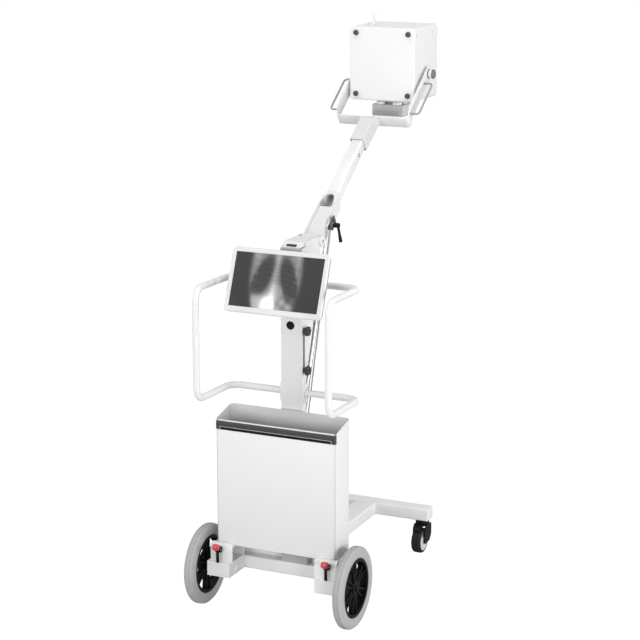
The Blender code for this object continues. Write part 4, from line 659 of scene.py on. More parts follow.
def bin_shell():
    """Sheet metal in one skin: rows run from the middle of the outer floor, out and up the outer
    wall, over the rim and down the inner wall to the middle of the inner floor. Along a row the
    outline is followed. The rim's height there is a straight line of the outline's depth, and in
    front of the trim's back it drops to the front wall's own height."""
    low, high, middle = placed("detector_bin")
    points = corners_of("detector_bin")
    near = 0.0005
    front_top = points[points[:, 1] < low[1] + near, 2].max()
    notch = box("bin_trim")[1][1] + GAP
    wall, floor, corner = 0.002, 0.002, 0.014
    outline = oblong((high[0] - low[0]) / 2, (high[1] - low[1]) / 2, corner, middle[:2], 8)
    outline = wound_left(outline)
    # two points, one over the other, where the outline passes the trim's back: the rim's step is upright
    crossing = np.nonzero((outline[:, 1] > notch) != (np.roll(outline[:, 1], -1) > notch))[0]
    for k in sorted(crossing, reverse=True):
        ahead = 1e-5 if outline[k, 1] < notch else -1e-5
        step = [(outline[k, 0], notch - ahead), (outline[k, 0], notch + ahead)]
        outline = np.insert(outline, k + 1, step, 0)
    rim = high[2] - RIM_SLOPE * (high[1] - outline[:, 1])
    rim = np.where(outline[:, 1] < notch, front_top, rim)
    ease = 0.0008
    sunk, centre = ease * 0.3, 0.0500
    # inset from the outer face, share of the rim's height above the floor, height above the floor
    rows = [(centre, 0.0, 0.0), (ease, 0.0, 0.0), (sunk, 0.0, sunk), (0.0, 0.0, ease), (0.0, 1.0, -ease),
            (sunk, 1.0, -sunk), (ease, 1.0, 0.0), (wall - ease, 1.0, 0.0), (wall - sunk, 1.0, -sunk),
            (wall, 1.0, -ease), (wall, 0.0, floor + ease), (wall + ease, 0.0, floor), (centre, 0.0, floor)]
    depth, share, lift = np.array(rows).T
    height = low[2] + share[:, None] * (rim - low[2]) + lift[:, None]
    rings = np.concatenate([inset(outline, depth), height[..., None]], -1)
    paint = satin_coat("satin_bin_powder_coat", COAT_COLOUR)
    # painted shade: the box of darker grey on the bin's inside walls and floor starts within the sheet's thickness
    inside = np.array([wall, wall, floor]) * 0.8
    inner_shade_paint = shade_inside_box(paint, low + inside, high - inside * (1, 1, -1), (0.62, 0.62, 0.62))
    add("bin_sheet", loft(rings), inner_shade_paint, "cart", ("detector_bin",), crease=30)
    trim_low, trim_high = box("bin_trim")
    # painted highlight: a thin pale bead at the back of the trim's top stands for the highlight on its top edge
    bead = block((trim_low[0] + 0.006, trim_high[1] - 0.0042, trim_high[2] - 0.0010),
                 (trim_high[0] - 0.006, trim_high[1] - 0.0002, trim_high[2] + 0.0042), 0.0006, "x")
    add("trim_bead", bead, SHELL, "cart")


def bin_trim():
    """The edge trim: a dark rail with a rounded nose, a sunk band along its lower part, and a thin pale line round
    that band. A black strip laid in the sunk band paints the shade in it."""
    low, high = box("bin_trim")
    rise, depth = high[2] - low[2], high[1] - low[1]
    face, back = low[1], high[1]
    stand = along_x()
    sunk_top = high[2] - rise * 0.62
    sink, nose, rail_end, overlap = 0.0022, 0.0045, 0.0150, 0.0004
    top = [(back, low[2]), (back, high[2]), (face + depth * 0.25, high[2]), (face, high[2] - nose)]
    rail = top + [(face, sunk_top), (face + sink, sunk_top), (face + sink, low[2])]
    rail = rounded(rail, [0.0006, 0.0006, 0.003, 0.003, 0.0006, 0.0004, 0.001], 4)
    add("trim_rail", slab(stand, rail, low[0] + rail_end, high[0] - rail_end, 0.0004), TRIM, "cart",
        ("bin_trim",))
    full = rounded(top + [(face, low[2] + 0.005), (face + depth * 0.3, low[2])], 0.0022, 4)
    spans = [(-high[0], -high[0] + rail_end + overlap), (high[0] - rail_end - overlap, high[0])]
    add("trim_ends", [slab(stand, full, *span, 0.0022) for span in spans], TRIM, "cart")
    line, shy, past = 0.0016, 0.0004, 0.0006
    inner = high[0] - 0.0156
    front, rear = face + shy, face + sink + past
    run = block((-inner, front, sunk_top - line), (inner, rear, sunk_top), 0.0004, "x")
    posts = [block((left, front, low[2] + 0.001), (left + line, rear, sunk_top), 0.0004, "z")
             for left in (-inner, inner - line)]
    add("trim_line", [run] + posts, LIGHT, "cart")
    # painted shade: a black strip, darker than the rail, stands for the shade in the sunk band
    band = block((-inner + line, face + sink - 0.0004, low[2] + 0.0006),
                 (inner - line, face + sink + 0.0008, sunk_top - line - 0.0002), 0.0003, "x")
    add("trim_band", band, BLACK, "cart")


# ---------------------------------------------------------------- column
def column():
    """The column with its foot, cover and head, and the small pieces that are fixed to them."""
    eased("column", WHITE, 0.0012)
    eased("column_base", WHITE, 0.0015)
    add("cover_sheet", block(*box("column_cover"), 0.0006, "y", 0.003), WHITE, "cart", ("column_cover",))
    eased("column_head", SHELL, 0.0022, 3)
    eased("display_window", WINDOW, 0.0004)
    low, high, middle = placed("grommet")
    radius, depth = (high[2] - low[2]) / 2, high[1] - low[1]
    ring = [(depth, 0.0), (depth * 0.9, radius * 0.55), (0.0012, radius * 0.62), (0.0, radius * 0.80),
            (0.0008, radius), (depth, radius)]
    stand = along_y((middle[0], low[1], middle[2]))
    add("cable_grommet", turned_solid(stand, ring, 0.0007, 3, 56), BLACK, "cart", ("grommet",))
    eased("arm_cheeks", WHITE, 0.0010)
    eased("arm_pivot_pin", WHITE, 0.0008)
    low, high, middle = placed("arm_pivot_pin")
    root, proud = high[0] - 0.0005, high[0] + 0.0003
    screw = [(root, 0.0), (root, 0.0050), (proud, 0.0048), (proud, 0.0)]
    add("pivot_set_screw", turned(along_x((0, middle[1], middle[2])), screw, 24), DARK, "cart")
    # the bar between the knobs is a part of the model; its dark grey is painted shade of a narrow gap along the
    # column's corner
    add("strip_bar", block(*box("knob_strip"), 0.0006, "x", 0.002), DARK, "cart", ("knob_strip",))


def star_knobs():
    """Star grips: the lobed outline is drawn in towards the back and the domed face by a quarter
    round each, and the face is sunk a little in its middle."""
    foot, round_r, neck_r = 0.0090, 0.0045, 0.0105
    for level in ("lower", "upper"):
        node = "star_knob_" + level
        low, high, middle = placed(node)
        stand = along_x((low[0], middle[1], middle[2]))
        reach, radius = high[0] - low[0], (high[2] - low[2]) / 2
        angle, star = lobed(radius, lobes=6, depth=0.0046, steps=132)
        depth, along = quarter_round(round_r, 5)
        heights = np.r_[foot + along / 2, (reach - along)[::-1], reach - 0.0006, reach - 0.0026]
        cut = np.r_[depth / 2, depth[::-1], 0.0095, 0.0100]
        grip = loft(stand.out(ring_rows(star - cut[:, None], heights[:, None], angle)))
        neck = [(0.0, 0.0), (0.0, neck_r), (foot + 0.001, neck_r - 0.0005), (foot + 0.001, 0.0)]
        add(node + "_grip", [grip, turned_solid(stand, neck, 0.0006)], KNOB, node, (node,), crease=50)


def push_handle():
    """Each handle is one bent tube: its line is found from the solid's box, with round bends."""
    radius, bend, drop = 0.0125, 0.045, 0.007
    for name, side in SIDES.items():
        node = "handle_" + name
        low, high = box(node)
        inner, outer = (low[0], high[0]) if side > 0 else (high[0], low[0])
        outer -= side * radius
        back, front = low[1] + radius, high[1] - radius
        top, bottom = high[2] - radius, low[2] + radius
        corners = [(inner, front, top - drop), (outer, front, top - drop), (outer, back, top),
                   (outer, back, bottom + drop), (outer, front, bottom), (inner, front, bottom)]
        line = rounded(corners, bend, 12, closed=False)
        add(node + "_tube", swept(line, radius, 32), TUBE_WHITE, "cart", (node,), crease=60)


# ---------------------------------------------------------------- monitor
MONITOR_TILT = 0.384     # how far the screen leans back, in radians
MONITOR = Stand(pivot("monitor_tilt"), X, (0, math.sin(MONITOR_TILT), math.cos(MONITOR_TILT)),
                (0, math.cos(MONITOR_TILT), -math.sin(MONITOR_TILT)))


def frame_rings(stand, rows, centre):
    """Rows of rounded rectangles (half width, half height, corner, depth) as rings on the stand."""
    outlines = np.array([oblong(*row[:3], centre, 8) for row in rows])
    return stand.out(lifted(outlines, np.array([row[3] for row in rows])))


def monitor():
    """The screen's surround: one skin that runs from the back over the rounded front to the screen,
    down its lip and back. Then the screen, the rear case and the mount."""
    low, high = MONITOR.span("monitor_bezel")
    screen_low, screen_high = MONITOR.span("monitor_screen")
    half_a, half_b = (high[:2] - low[:2]) / 2
    front, back = low[2], high[2]
    corner, nose, ease = 0.016, 0.0055, 0.0006
    rows = [(half_a - ease, half_b - ease, corner, back), (half_a, half_b, corner, back - ease)]
    rows += [(half_a - cut, half_b - cut, corner - cut, front + rise)
             for rise, cut in zip(*quarter_round(nose, 6))]
    outer = frame_rings(MONITOR, rows, (low[:2] + high[:2]) / 2)
    open_a, open_b = (screen_high[:2] - screen_low[:2]) / 2 + GAP
    lip = 0.0012
    rows = [(open_a + lip * 1.4, open_b + lip * 1.4, 0.0030, front),
            (open_a + lip * 0.5, open_b + lip * 0.5, 0.0022, front + 0.0004),
            (open_a, open_b, 0.0016, front + lip), (open_a, open_b, 0.0016, back)]
    inner = frame_rings(MONITOR, rows, (screen_low[:2] + screen_high[:2]) / 2)
    add("screen_surround", loft(np.concatenate([outer, inner]), closed=True), BEZEL, "monitor",
        ("monitor_bezel",), crease=40)
    screen_film(screen_low, screen_high)
    monitor_back()
    eased("monitor_mount", DARK, 0.0010)


def fade(past, soft):
    """One well inside an edge and zero well past it, with a soft step between."""
    return 1 / (1 + np.exp(past / soft))


def wave(x, length):
    """A cosine wave between zero and one."""
    return 0.5 + 0.5 * np.cos(2 * math.pi * x / length)


def blob(x, y, at, size, soft, turn=0.0):
    """One inside an ellipse at a point, falling to zero over a soft margin outside it."""
    dx, dy = x - at[0], y - at[1]
    along = (dx * math.cos(turn) + dy * math.sin(turn)) / size[0]
    across = (-dx * math.sin(turn) + dy * math.cos(turn)) / size[1]
    return fade(np.sqrt(along ** 2 + across ** 2) - 1, soft)


def chest_film(x, y):
    """Brightness of a plain chest film on a square from -1 to 1 in both directions, drawn with
    soft ellipses: trunk, lungs, faint ribs, spine, heart, and bright domes below."""
    trunk = fade(np.abs(x + 0.02 * y) - (0.80 - 0.10 * y ** 2 + 0.07 * y), 0.030)
    lungs = np.maximum(blob(x, y, (-0.40, 0.16), (0.27, 0.86), 0.09, -0.26),
                       blob(x, y, (0.43, 0.04), (0.25, 0.94), 0.09, 0.24))
    floor = -0.44 - 0.34 * fade(-x, 0.06) - 0.12 * np.cos(3.4 * (np.abs(x) - 0.35))
    lungs *= fade(floor - y, 0.045)
    sag = 0.55 * (np.abs(x) - 0.32) ** 2
    ribs = wave(y + sag + 0.16 * np.abs(x), 0.19) ** 3
    flank = np.exp(-((np.abs(x) - 0.64) / 0.11) ** 2) * fade(-0.25 - y, 0.15)
    shade = 0.22 + 0.10 * flank + 0.10 * blob(x, y, (0.0, 0.95), (0.9, 0.22), 0.25)
    shade = shade * (1 - 0.86 * lungs) + 0.022 * ribs * lungs + 0.020 * ribs * flank
    spine = np.exp(-(x + 0.02 - 0.03 * y) ** 2 / 0.011)
    shade += spine * (0.15 + 0.05 * wave(y, 0.14) + 0.14 * np.maximum(0.1 - y, 0))
    heart = blob(x, y, (0.08, -0.34), (0.20, 0.28), 0.16, 0.35)
    shade += 0.19 * heart
    shade += 0.34 * blob(x, y, (-0.46, -0.94), (0.36, 0.42), 0.16)
    shade += 0.86 * blob(x, y, (-0.13, -0.96), (0.20, 0.44), 0.20)
    shade += 0.05 * np.sin(23 * x + 9 * y) * np.sin(11 * y - 19 * x) * flank
    gas = np.sin(17 * x + 5 * y) * np.sin(13 * y - 6 * x)
    shade += (0.16 + 0.12 * gas) * blob(x, y, (0.40, -0.86), (0.34, 0.30), 0.22)
    return np.clip(trunk * shade, 0, 1)


def screen_film(low, high):
    """The screen: a flat grid whose points carry the picture as a colour attribute, with side walls
    and a back behind it."""
    columns, rows = 330, 200
    shy, sunk = 0.00005, 0.0004
    a = np.linspace(low[0] + shy, high[0] - shy, columns)
    b = np.linspace(low[1] + shy, high[1] - shy, rows)
    grid_a, grid_b = np.meshgrid(a, b)
    glass = np.stack([grid_a, grid_b, np.full_like(grid_a, low[2] + sunk)], -1)
    points = MONITOR.out(glass).reshape(-1, 3)
    number = np.arange(rows * columns).reshape(rows, columns)
    quads = np.stack([number[:-1, :-1], number[:-1, 1:], number[1:, 1:], number[1:, :-1]], -1).reshape(-1, 4)
    edge = np.concatenate([number[0], number[1:, -1], number[-1, -2::-1], number[-2:0:-1, 0]])
    rear = MONITOR.back(points[edge])
    rear[:, 2] = high[2]
    start = len(points)
    points = np.vstack([points, MONITOR.out(rear)])
    ring = start + np.arange(len(edge))
    walls = np.stack([edge, np.roll(edge, -1), np.roll(ring, -1), ring], -1)
    faces = quads.tolist() + walls.tolist() + [ring.tolist()]
    made = add("screen_film", (points, faces), FILM, "monitor", ("monitor_screen",), crease=30)
    # the film is as high as the screen, wider than high, and a little to the left of the middle
    half_height, stretch, aside = (high[1] - low[1]) / 2, 1.27, 0.06
    at_a = (grid_a - (low[0] + high[0]) / 2) / half_height
    at_b = (grid_b - (low[1] + high[1]) / 2) / half_height
    film = chest_film((at_a.ravel() + aside) / stretch, at_b.ravel())
    dark, contrast = 0.042, 1.35
    level = np.full(len(points), dark)
    level[:start] = dark + (1 - dark) * film ** contrast
    colour = np.column_stack([level, level, level * 1.01, np.ones(len(points))]).clip(0, 1)
    made.data.attributes.new("film", "FLOAT_COLOR", "POINT").data.foreach_set("color", colour.ravel())


def monitor_back():
    """The dark rear case with rounded rims and two columns of vent ribs, the fixing plate with its
    four screws, and the hinge barrel on its neck."""
    low, high = MONITOR.span("monitor_shell")
    front = MONITOR.span("monitor_bezel")[1][2] + GAP
    case_back = front + 0.014
    middle = (low[:2] + high[:2]) / 2
    half_a, half_b = (high[:2] - low[:2]) / 2
    corner, ease = 0.016, 0.007
    rows = [(half_a - 0.0004, half_b - 0.0004, corner, front), (half_a, half_b, corner, front + 0.0008)]
    rows += [(half_a - cut, half_b - cut, corner, case_back - rise)
             for rise, cut in zip(*quarter_round(ease, 5))]
    shapes = [loft(frame_rings(MONITOR, rows, middle))]
    rib_half, rib_thick, pitch, aside, first = 0.0396, 0.0011, 0.0056, 0.105, 0.040
    for row in range(9):
        for side in SIDES.values():
            at = (middle[0] + side * aside, middle[1] + first + pitch * row)
            rib = oblong(rib_half, rib_thick, 0.0010, at, 3)
            shapes.append(slab(MONITOR, rib, case_back - 0.0004, case_back + 0.0008, 0.0004, 2))
    add("monitor_case", shapes, DARK, "monitor", ("monitor_shell",))
    plate_back, plate_half, screw_at = -0.011, 0.050, 0.0375
    plate = slab(MONITOR, oblong(plate_half, plate_half, 0.006, (0.0, middle[1]), 5),
                 case_back - 0.0005, plate_back, 0.0012)
    neck = slab(MONITOR, oblong(0.026, 0.006, 0.002), plate_back - 0.001, -0.004, 0.0005)
    barrel = turned_ring(along_x(MONITOR.origin), mirrored([(0.030, 0.0044), (0.030, 0.010)]), 0.0012, 3, 40)
    add("monitor_hinge", [plate, neck, barrel], DARK, "monitor")
    screw = [(-0.001, 0.0), (-0.001, 0.0042), (0.0022, 0.0038), (0.0026, 0.002), (0.0016, 0.0019),
             (0.0016, 0.0)]
    spots = [(x, middle[1] + y, plate_back) for x in (-screw_at, screw_at) for y in (-screw_at, screw_at)]
    screws = [turned_solid(Stand(MONITOR.out(spot), *MONITOR.axes), screw, 0.0004, 2, 24) for spot in spots]
    add("monitor_screws", screws, STEEL, "monitor")


# ---------------------------------------------------------------- arm
TILT_DROP = 0.0165     # how far the tilt axis lies below the arm's own line
SPAN = pivot("head_tilt") - pivot("arm_lift")
ARM_ANGLE = math.atan2(SPAN[2], SPAN[1]) + math.asin(TILT_DROP / np.linalg.norm(SPAN))
ARM_UP = np.array([0.0, -math.sin(ARM_ANGLE), math.cos(ARM_ANGLE)])
ARM_ALONG = np.array([0.0, math.cos(ARM_ANGLE), math.sin(ARM_ANGLE)])
ARM_END_ON = Stand(pivot("arm_lift"), X, ARM_UP, ARM_ALONG)     # (across, up, along)
ARM_SIDE_ON = Stand(pivot("arm_lift"), ARM_ALONG, ARM_UP, X)    # (along, up, across)


def arm():
    """The root, the square tube with its stop ring, the neck with its three screws, and the clamp."""
    eased("arm_root", WHITE, 0.0022, 3)
    low, high = ARM_END_ON.span("arm_tube")
    half_a, half_b = (high[:2] - low[:2]) / 2
    outline = oblong(half_a, half_b, 0.0085, (0.0, (low[1] + high[1]) / 2), 8)
    skin = hollow_bar(ARM_END_ON, outline, low[2], high[2], 0.003, 0.0008)
    add("arm_tube_skin", skin, TUBE_WHITE, "arm", ("arm_tube",), crease=60)
    eased("arm_neck", SHADED_NECK_COAT, 0.0030, 3)
    side_low, side_high = ARM_SIDE_ON.span("arm_tube")
    stop_along = 0.462
    bolt = on_arm_side(stop_along, (side_low[1] + side_high[1]) / 2, side_high[2])
    ring = [(-0.001, 0.0), (-0.001, 0.0095), (0.0016, 0.0092), (0.0024, 0.0072), (0.0008, 0.0056),
            (0.0008, 0.0)]
    add("arm_stop_ring", turned_solid(bolt, ring, 0.0004), PANEL, "arm")
    neck_side = ARM_SIDE_ON.span("arm_neck")[1][2]
    screw = [(-0.001, 0.0), (-0.001, 0.0040), (0.0014, 0.0036), (0.0014, 0.0016), (0.0004, 0.0014),
             (0.0004, 0.0)]
    screws = [turned_solid(on_arm_side(along, -0.012, neck_side), screw, 0.0003, 2, 24)
              for along in (0.548, 0.568, 0.588)]
    add("neck_screws", screws, LIGHT, "arm")
    eased("rod_clamp", CLAMP, 0.0008)
    clamp_lever()


def on_arm_side(along, up, across):
    """Axes at a point of the arm's right side, turned so that C points outwards."""
    return Stand(ARM_SIDE_ON.out((along, up, across)), ARM_ALONG, ARM_UP, X)


def clamp_lever():
    """The clamp's hub and its handle, a rod that narrows and swells again towards a round end."""
    hub = pivot("clamp_lever_turn")
    low, high = box("clamp_lever")
    hub_r, hub_long = 0.0088, 0.0227
    out = hub[0] + hub_long
    profile = [(hub[0], 0.0), (hub[0], hub_r), (out - 0.002, 0.0090), (out, 0.0070), (out, 0.0)]
    barrel = turned_solid(along_x((0, hub[1], hub[2])), profile, 0.0014, 4)
    start = np.array([out - 0.006, hub[1], hub[2] - 0.003])
    end = np.array([high[0] - 0.0068, hub[1], low[2] + 0.0012])
    t = np.linspace(0, 1, 24)
    radius = 0.0056 - 0.0012 * np.sin(math.pi * np.minimum(t * 1.3, 1)) + 0.0008 * t
    handle = swept(start + (end - start) * t[:, None], radius, 28, 0.003)
    add("clamp_handle", [barrel, handle], BLACK, "clamp_lever", ("clamp_lever",), crease=50)


def struts():
    """The gas spring and the brake rod, with a dark sleeve over the rod's upper end."""
    for node in ("gas_cylinder", "gas_rod", "brake_rod"):
        eased(node, STEEL, 0.0006, crease=50)
    foot, top = pivot("brake_rod_pivot"), box("brake_rod")[1]
    run = np.array([0.0, top[1] - foot[1] - 0.004, top[2] - foot[2]])
    run /= np.linalg.norm(run)
    tip = foot + run * ((top[2] - foot[2]) / run[2] + 0.0004)
    sleeve_long, sleeve_r = 0.044, 0.0045
    line = tip - run * np.array([[sleeve_long], [sleeve_long / 2], [0.0]])
    add("rod_sleeve", swept(line, sleeve_r, 28, 0.0010), CLAMP, "brake_rod", crease=50)


# ---------------------------------------------------------------- yoke
def yoke():
    """One bent strip. Its middle line runs from one tip round the web to the other tip; at each
    station the section is a rounded rectangle as thick as the sheet, between a lower and an upper
    edge that run straight from the web to the plate's width and close in a half circle at the tip."""
    web_low, web_high = ARM_END_ON.span("yoke")[0][1], -0.015
    tip = ARM_END_ON.back(pivot("head_tilt"))
    half_width, sheet, bend, tip_r = 0.150, 0.004, 0.011, 0.027
    full_width = 0.2216     # how far from the tilt axis the plates keep their full width
    start = ARM_END_ON.span("arm_neck")[1][2] + GAP
    reach = tip[2]
    line = yoke_line(half_width - sheet / 2, start + sheet / 2, reach, tip_r, bend)
    # share of the way from the web to the place where the plates reach that width
    ahead = np.clip((line[:, 1] - start - bend) / (reach - full_width - start - bend), 0, 1)
    bottom = web_low + (tip[1] - tip_r - web_low) * ahead
    top = web_high + (tip[1] + tip_r - web_high) * ahead
    round_off = np.sqrt(1 - np.clip((line[:, 1] - reach) / tip_r, 0, 0.9999) ** 2)
    centre = (bottom + top) / 2
    half_tall = (top - bottom) / 2 * round_off
    tangent = np.gradient(line, axis=0)
    tangent /= np.linalg.norm(tangent, axis=1)[:, None]
    normal = np.stack([tangent[:, 1], -tangent[:, 0]], -1)
    ease = 0.0008
    # the section's eight points: across the sheet, up or down, and how far its corners are eased
    across = np.array([-1, -1, -0.6, 0.6, 1, 1, 0.6, -0.6]) * sheet / 2
    tall = np.array([-1, 1, 1, 1, 1, -1, -1, -1])
    trim = np.array([1, -1, 0, 0, -1, 1, 0, 0]) * ease
    spot = line[:, None] + normal[:, None] * across[:, None]
    up = centre[:, None] + tall * half_tall[:, None] + trim * round_off[:, None]
    strip = loft(ARM_END_ON.out(np.stack([spot[..., 0], up, spot[..., 1]], -1)))
    add("yoke_strip", strip, WHITE, "arm", ("yoke",), crease=50)
    grip_bows(half_width, tip)


def yoke_line(middle_x, web, reach, tip_r, bend):
    """The strip's middle line: from one tip, where its points lie close together, along a leg and
    round a bend, and the same mirrored back to the other tip."""
    end = reach + tip_r - 0.0001
    corners = [(-middle_x, end), (-middle_x, web), (middle_x, web), (middle_x, end)]
    bent = rounded(corners, bend, 10, closed=False)
    axis = np.array([-middle_x, reach])
    legs = np.linspace(0, 1, 60)[1:, None]
    turn = np.linspace(0, math.pi / 2, 16)[:, None]
    round_end = np.array(corners[0]) + (axis - corners[0]) * (1 - np.cos(turn))
    bends = bent[2:-2]
    line = np.vstack([round_end, axis + (bent[1] - axis) * legs, bends])
    line = np.vstack([line, (line * (-1, 1))[::-1][len(bends):]])
    apart = np.linalg.norm(np.diff(line, axis=0), axis=1) > 1e-6
    return line[np.r_[True, apart]]


def grip_bows(half_width, tip):
    """A bent rod on the outer face of each plate, with a collar at each of its feet."""
    rod_r, out, bend = 0.004, 0.034, 0.014
    first = tip[2] - 0.055
    last = first - 0.172
    collar = [(-0.0005, 0.0), (-0.0005, 0.0066), (0.0018, 0.0058), (0.0018, 0.0)]
    for name, side in SIDES.items():
        near, far = side * (half_width - 0.001), side * (half_width + out)
        corners = [(near, tip[1], first), (far, tip[1], first), (far, tip[1], last), (near, tip[1], last)]
        shapes = [swept(ARM_END_ON.out(rounded(corners, bend, 10, closed=False)), rod_r, 24)]
        for along in (first, last):
            stand = Stand(ARM_END_ON.out((side * half_width, tip[1], along)), ARM_ALONG, ARM_UP, X * side)
            shapes.append(turned_solid(stand, collar, 0.0006, 3, 28))
        add("grip_bow_" + name, shapes, BOW, "arm", crease=60)


# ---------------------------------------------------------------- head
def head():
    """The two mouldings, the four round feet on the rear one, the pivots, and the tube unit."""
    head_shells()
    foot_r = 0.011
    for level in ("lower", "upper"):
        for name in SIDES:
            node = "head_foot_" + level + "_" + name
            low, high, middle = placed(node)
            stand = along_y((middle[0], low[1], middle[2]))
            deep = high[1] - low[1]
            profile = [(0.0016, 0.0), (0.0016, 0.0030), (0.0004, 0.0036), (0.0, 0.0060),
                       (0.0016, foot_r * 0.86), (deep, foot_r), (deep, 0.0)]
            add(node + "_pad", turned_solid(stand, profile, 0.0008), FOOT, "head", (node,))
    tilt_pivots()
    frame["nodes"]["xray_tube_unit"].data.materials.clear()
    frame["nodes"]["xray_tube_unit"].data.materials.append(CAST.material)


def head_shells():
    """Two mouldings that meet at a seam: rings of rounded rectangles, with the open rims stepped in
    and the closed face rounded over."""
    rear_low, rear_high = box("head_rear_cover")
    half_x, half_z = (rear_high[0] - rear_low[0]) / 2, (rear_high[2] - rear_low[2]) / 2
    centre = (0.0, (rear_low[2] + rear_high[2]) / 2)
    corner, ease = 0.010, 0.006
    for node, piece in (("head_rear_cover", "rear_moulding"), ("head_housing", "front_moulding")):
        low, high = box(node)
        rear = node == "head_rear_cover"
        face, rim, inward = (low[1], high[1], 1) if rear else (high[1], low[1], -1)
        rows = [(half_x - cut, half_z - cut, corner - cut * 0.4, face + inward * along)
                for cut, along in zip(*quarter_round(ease, 7))]
        # inset, corner and distance from the rim
        steps = [(0.0, corner, 0.0006), (0.0006, 0.0095, 0.0001), (0.0028, 0.0075, 0.0001),
                 (0.003, 0.0072, 0.002), (0.003, 0.0072, abs(rim - face) - 0.004)]
        rows += [(half_x - cut, half_z - cut, soft, rim - inward * far) for cut, soft, far in steps]
        shapes = [loft(frame_rings(along_y(), rows, centre))]
        if not rear:
            shapes += top_fittings(high[2])
            shell_screws(high[0], low[1] + 0.006, high[1] - 0.058, rear_high[2] - 0.0285)
        add(piece, shapes, SHELL, "head", (node,), crease=40)


def shell_screws(side, back, front, level):
    """Two screws in the right side of the front moulding."""
    screw = [(-0.0010, 0.0), (-0.0010, 0.0042), (0.0012, 0.0038), (0.0012, 0.0018), (0.0003, 0.0016),
             (0.0003, 0.0)]
    screws = [turned_solid(along_x((side, y, level)), screw, 0.0003, 2, 24) for y in (back, front)]
    add("shell_screws", screws, GREY, "head")


def top_fittings(level):
    """The sighting post, which ends at a level, and the small dome on the head's upper face."""
    top = box("head_rear_cover")[1][2]
    seam = box("head_housing")[0][1]
    post_at, dome_at = (-0.067, seam + 0.066), (-0.1075, seam + 0.098)
    post = [(-0.001, 0.0), (-0.001, 0.0090), (0.0060, 0.0086), (0.0090, 0.0052), (0.0340, 0.0046),
            (0.0370, 0.0076), (0.0495, 0.0078), (level - top, 0.0060), (level - top, 0.0)]
    dome = [(-0.001, 0.0), (-0.001, 0.0090), (0.0040, 0.0080), (0.0070, 0.0050), (0.0080, 0.0)]
    ease = 0.0010
    return [turned_solid(along_z((*post_at, top)), post, ease),
            turned_solid(along_z((*dome_at, top)), dome, ease)]


def tilt_pivots():
    """Each pivot: dark ring on the plate, white barrel, dark cap, and the spacer by the head."""
    axis = pivot("head_tilt")
    plate_in, plate_out, pin, barrel_r = 0.1457, 0.1503, 0.006, 0.0150
    step, under_cap = plate_out + 0.004, plate_out + 0.0155
    for name, side in SIDES.items():
        node = "tilt_pivot_" + name
        low, high = box(node)
        inner, end = (low[0], high[0]) if side > 0 else (-high[0], -low[0])
        stand = Stand((0, axis[1], axis[2]), Y, Z, X * side)
        spacer = [(inner, 0.0), (inner, 0.012), (plate_in, 0.012), (plate_in, pin), (plate_out, pin),
                  (plate_out, 0.0)]
        barrel = [(plate_out, 0.0), (plate_out, barrel_r), (step, barrel_r), (step, 0.0168),
                  (under_cap, 0.0168), (under_cap, 0.0)]
        shapes = [turned_solid(stand, spacer, 0.0005, 2), turned_solid(stand, barrel, 0.0007, 3, 56)]
        add("pivot_barrel_" + name, shapes, SHELL, "head", (node,))
        ring = [(plate_out, 0.0152), (plate_out + 0.0035, 0.0152), (plate_out + 0.0035, 0.0183),
                (plate_out, 0.0183)]
        cap = [(under_cap + 0.0002, 0.0), (under_cap + 0.0002, 0.0185), (end - 0.0025, 0.0180),
               (end, 0.0152), (end, 0.0)]
        shapes = [turned_ring(stand, ring, 0.0005, 2), turned_solid(stand, cap, 0.0010, 4, 56)]
        add("pivot_dark_" + name, shapes, DARK, "head")


def collimator():
    """The limiter's case and its narrower throat, the panel on its rear face, the window below, and
    the two ribbed dials."""
    low, high = box("collimator")
    shelf = pivot("collimator_dial_left_turn")[2] - GAP
    add("limiter_case", block(low, (high[0], high[1], shelf), 0.0030, "z", 0.006), GREY, "head",
        ("collimator",))
    throat = block((low[0] + 0.010, low[1] + 0.034, shelf - 0.001),
                   (high[0] - 0.010, high[1] - 0.010, high[2]), 0.001, "z", 0.004)
    add("limiter_throat", throat, GREY, "head")
    width, rise = high[0] - low[0], shelf - low[2]
    panel = block((low[0] + 0.002, low[1] - 0.0006, low[2] + rise * 0.08),
                  (low[0] + width * 0.86, low[1] + 0.001, low[2] + rise * 0.47), 0.0005, "y", 0.004)
    add("limiter_panel", panel, PANEL, "head")
    half, border = 0.045, 0.020
    glass = block((-half, low[1] + border, low[2] - 0.0002), (half, high[1] - border, low[2] + 0.001),
                  0.0002, "z", 0.004)
    add("limiter_window", glass, WINDOW, "head")
    for name in SIDES:
        node = "collimator_dial_" + name
        low, high, middle = placed(node)
        reach = high[2] - low[2]
        angle, ribs = lobed((high[0] - low[0]) / 2, lobes=24, depth=0.0010, steps=192)
        # height, and how far the ribbed outline is drawn in there
        rows = np.array([(0.0, 0.0012), (0.0008, 0.0), (reach - 0.0030, 0.0), (reach - 0.0008, 0.0010),
                         (reach, 0.0034), (reach, 0.0070)])
        rings = ring_rows(ribs - rows[:, 1:], rows[:, :1], angle)
        stand = along_z((middle[0], middle[1], low[2]))
        add(node + "_grip", loft(stand.out(rings)), SHELL, node, (node,), crease=50)


# ---------------------------------------------------------------- stage
# name, place, size and power
LAMPS = (("right_front_softbox", (4.4, -4.4, 1.2), 2.0, 88.0),
         ("front_softbox", (-0.6, -6.6, 1.4), 2.5, 98.0),
         ("left_softbox", (-4.8, -3.4, 1.8), 2.2, 71.0),
         ("top_softbox", (0.0, -1.0, 5.6), 2.5, 82.0),
         ("right_softbox", (6.0, 0.2, 1.4), 2.2, 162.0))


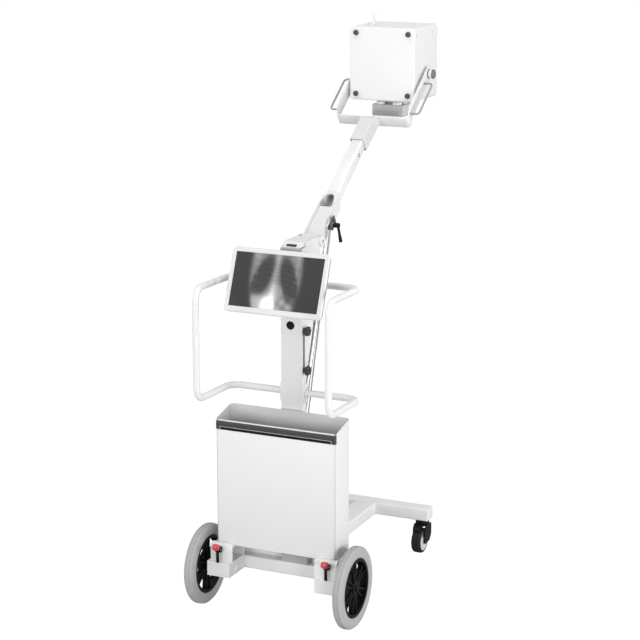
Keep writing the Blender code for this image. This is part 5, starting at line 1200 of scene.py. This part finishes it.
def stage():
    """A pale floor, a white surrounding, five soft lamps and the camera."""
    studio_floor()
    studio_world()
    for name, at, size, power in LAMPS:
        lamp(name, at, size, power)
    lens = bpy.data.cameras.new("studio_camera")
    lens.lens = 109.41
    lens.sensor_width = 36.0
    lens.clip_end = 60.0
    camera = bpy.data.objects.new("studio_camera", lens)
    camera.location = (2.8942, -6.4948, 2.7382)
    camera.rotation_euler = (math.pi / 2 - 0.2413, 0.0, 0.428)
    SCENE.collection.objects.link(camera)
    SCENE.camera = camera
    SCENE.view_settings.view_transform = "Standard"


def studio_floor():
    """A disc of matt paint that the camera alone sees as nine tenths a plain glow."""
    mesh = bpy.data.meshes.new("studio_floor")
    reach, corners = 14, 96
    angle = np.linspace(0, 2 * math.pi, corners, endpoint=False)
    ring = np.stack([reach * np.cos(angle), reach * np.sin(angle), np.zeros(corners)], -1)
    mesh.from_pydata(ring.tolist(), [], [list(range(corners))])
    floor = bpy.data.objects.new("studio_floor", mesh)
    SCENE.collection.objects.link(floor)
    paint, tree, shader = new_finish("studio_floor_paint")
    fed(tree, shader, {"Base Color": (0.62, 0.62, 0.62, 1.0), "Roughness": 0.9, "Specular IOR Level": 0.0})
    glow = put(tree, "ShaderNodeEmission", {"Strength": 1.12})
    rays = tree.nodes.new("ShaderNodeLightPath")
    share = reckon(tree, "ShaderNodeMath", "MULTIPLY", rays.outputs["Is Camera Ray"], 0.90)
    mix = put(tree, "ShaderNodeMixShader", {"Fac": share, 1: shader.outputs["BSDF"],
                                            2: glow.outputs["Emission"]})
    fed(tree, tree.nodes["Material Output"], {"Surface": mix.outputs["Shader"]})
    mesh.materials.append(paint)


def studio_world():
    """Plain white light that is as bright as white only where the camera, a gloss or a clear piece
    shows it, and weaker where it lights the object."""
    world = bpy.data.worlds.new("studio")
    SCENE.world = world
    world.use_nodes = True
    tree = world.node_tree
    rays = tree.nodes.new("ShaderNodeLightPath").outputs
    seen = reckon(tree, "ShaderNodeMath", "MAXIMUM", rays["Is Camera Ray"], rays["Is Glossy Ray"])
    seen = reckon(tree, "ShaderNodeMath", "MAXIMUM", seen, rays["Is Transmission Ray"])
    level = put(tree, "ShaderNodeMapRange", {"To Min": 0.356, "To Max": 1.0, "Value": seen})
    fed(tree, tree.nodes["Background"], {"Color": (1.0, 1.0, 1.0, 1.0), "Strength": level.outputs["Result"]})


def lamp(name, at, size, power):
    """A round soft lamp that faces the middle of the object."""
    light = bpy.data.lights.new(name, "AREA")
    light.shape = "DISK"
    light.size = size
    light.energy = power
    made = bpy.data.objects.new(name, light)
    made.location = at
    aim = np.array((0.0, 0.0, 1.1)) - np.array(at)
    pitch = math.atan2(aim[2], math.hypot(aim[0], aim[1]))
    made.rotation_euler = (math.pi / 2 + pitch, 0.0, math.atan2(aim[1], aim[0]) - math.pi / 2)
    SCENE.collection.objects.link(made)


stage()
base_frame()
rear_brackets()
rear_wheels()
brake_levers()
casters()
bin_shell()
bin_trim()
column()
star_knobs()
push_handle()
monitor()
arm()
struts()
yoke()
head()
collimator()
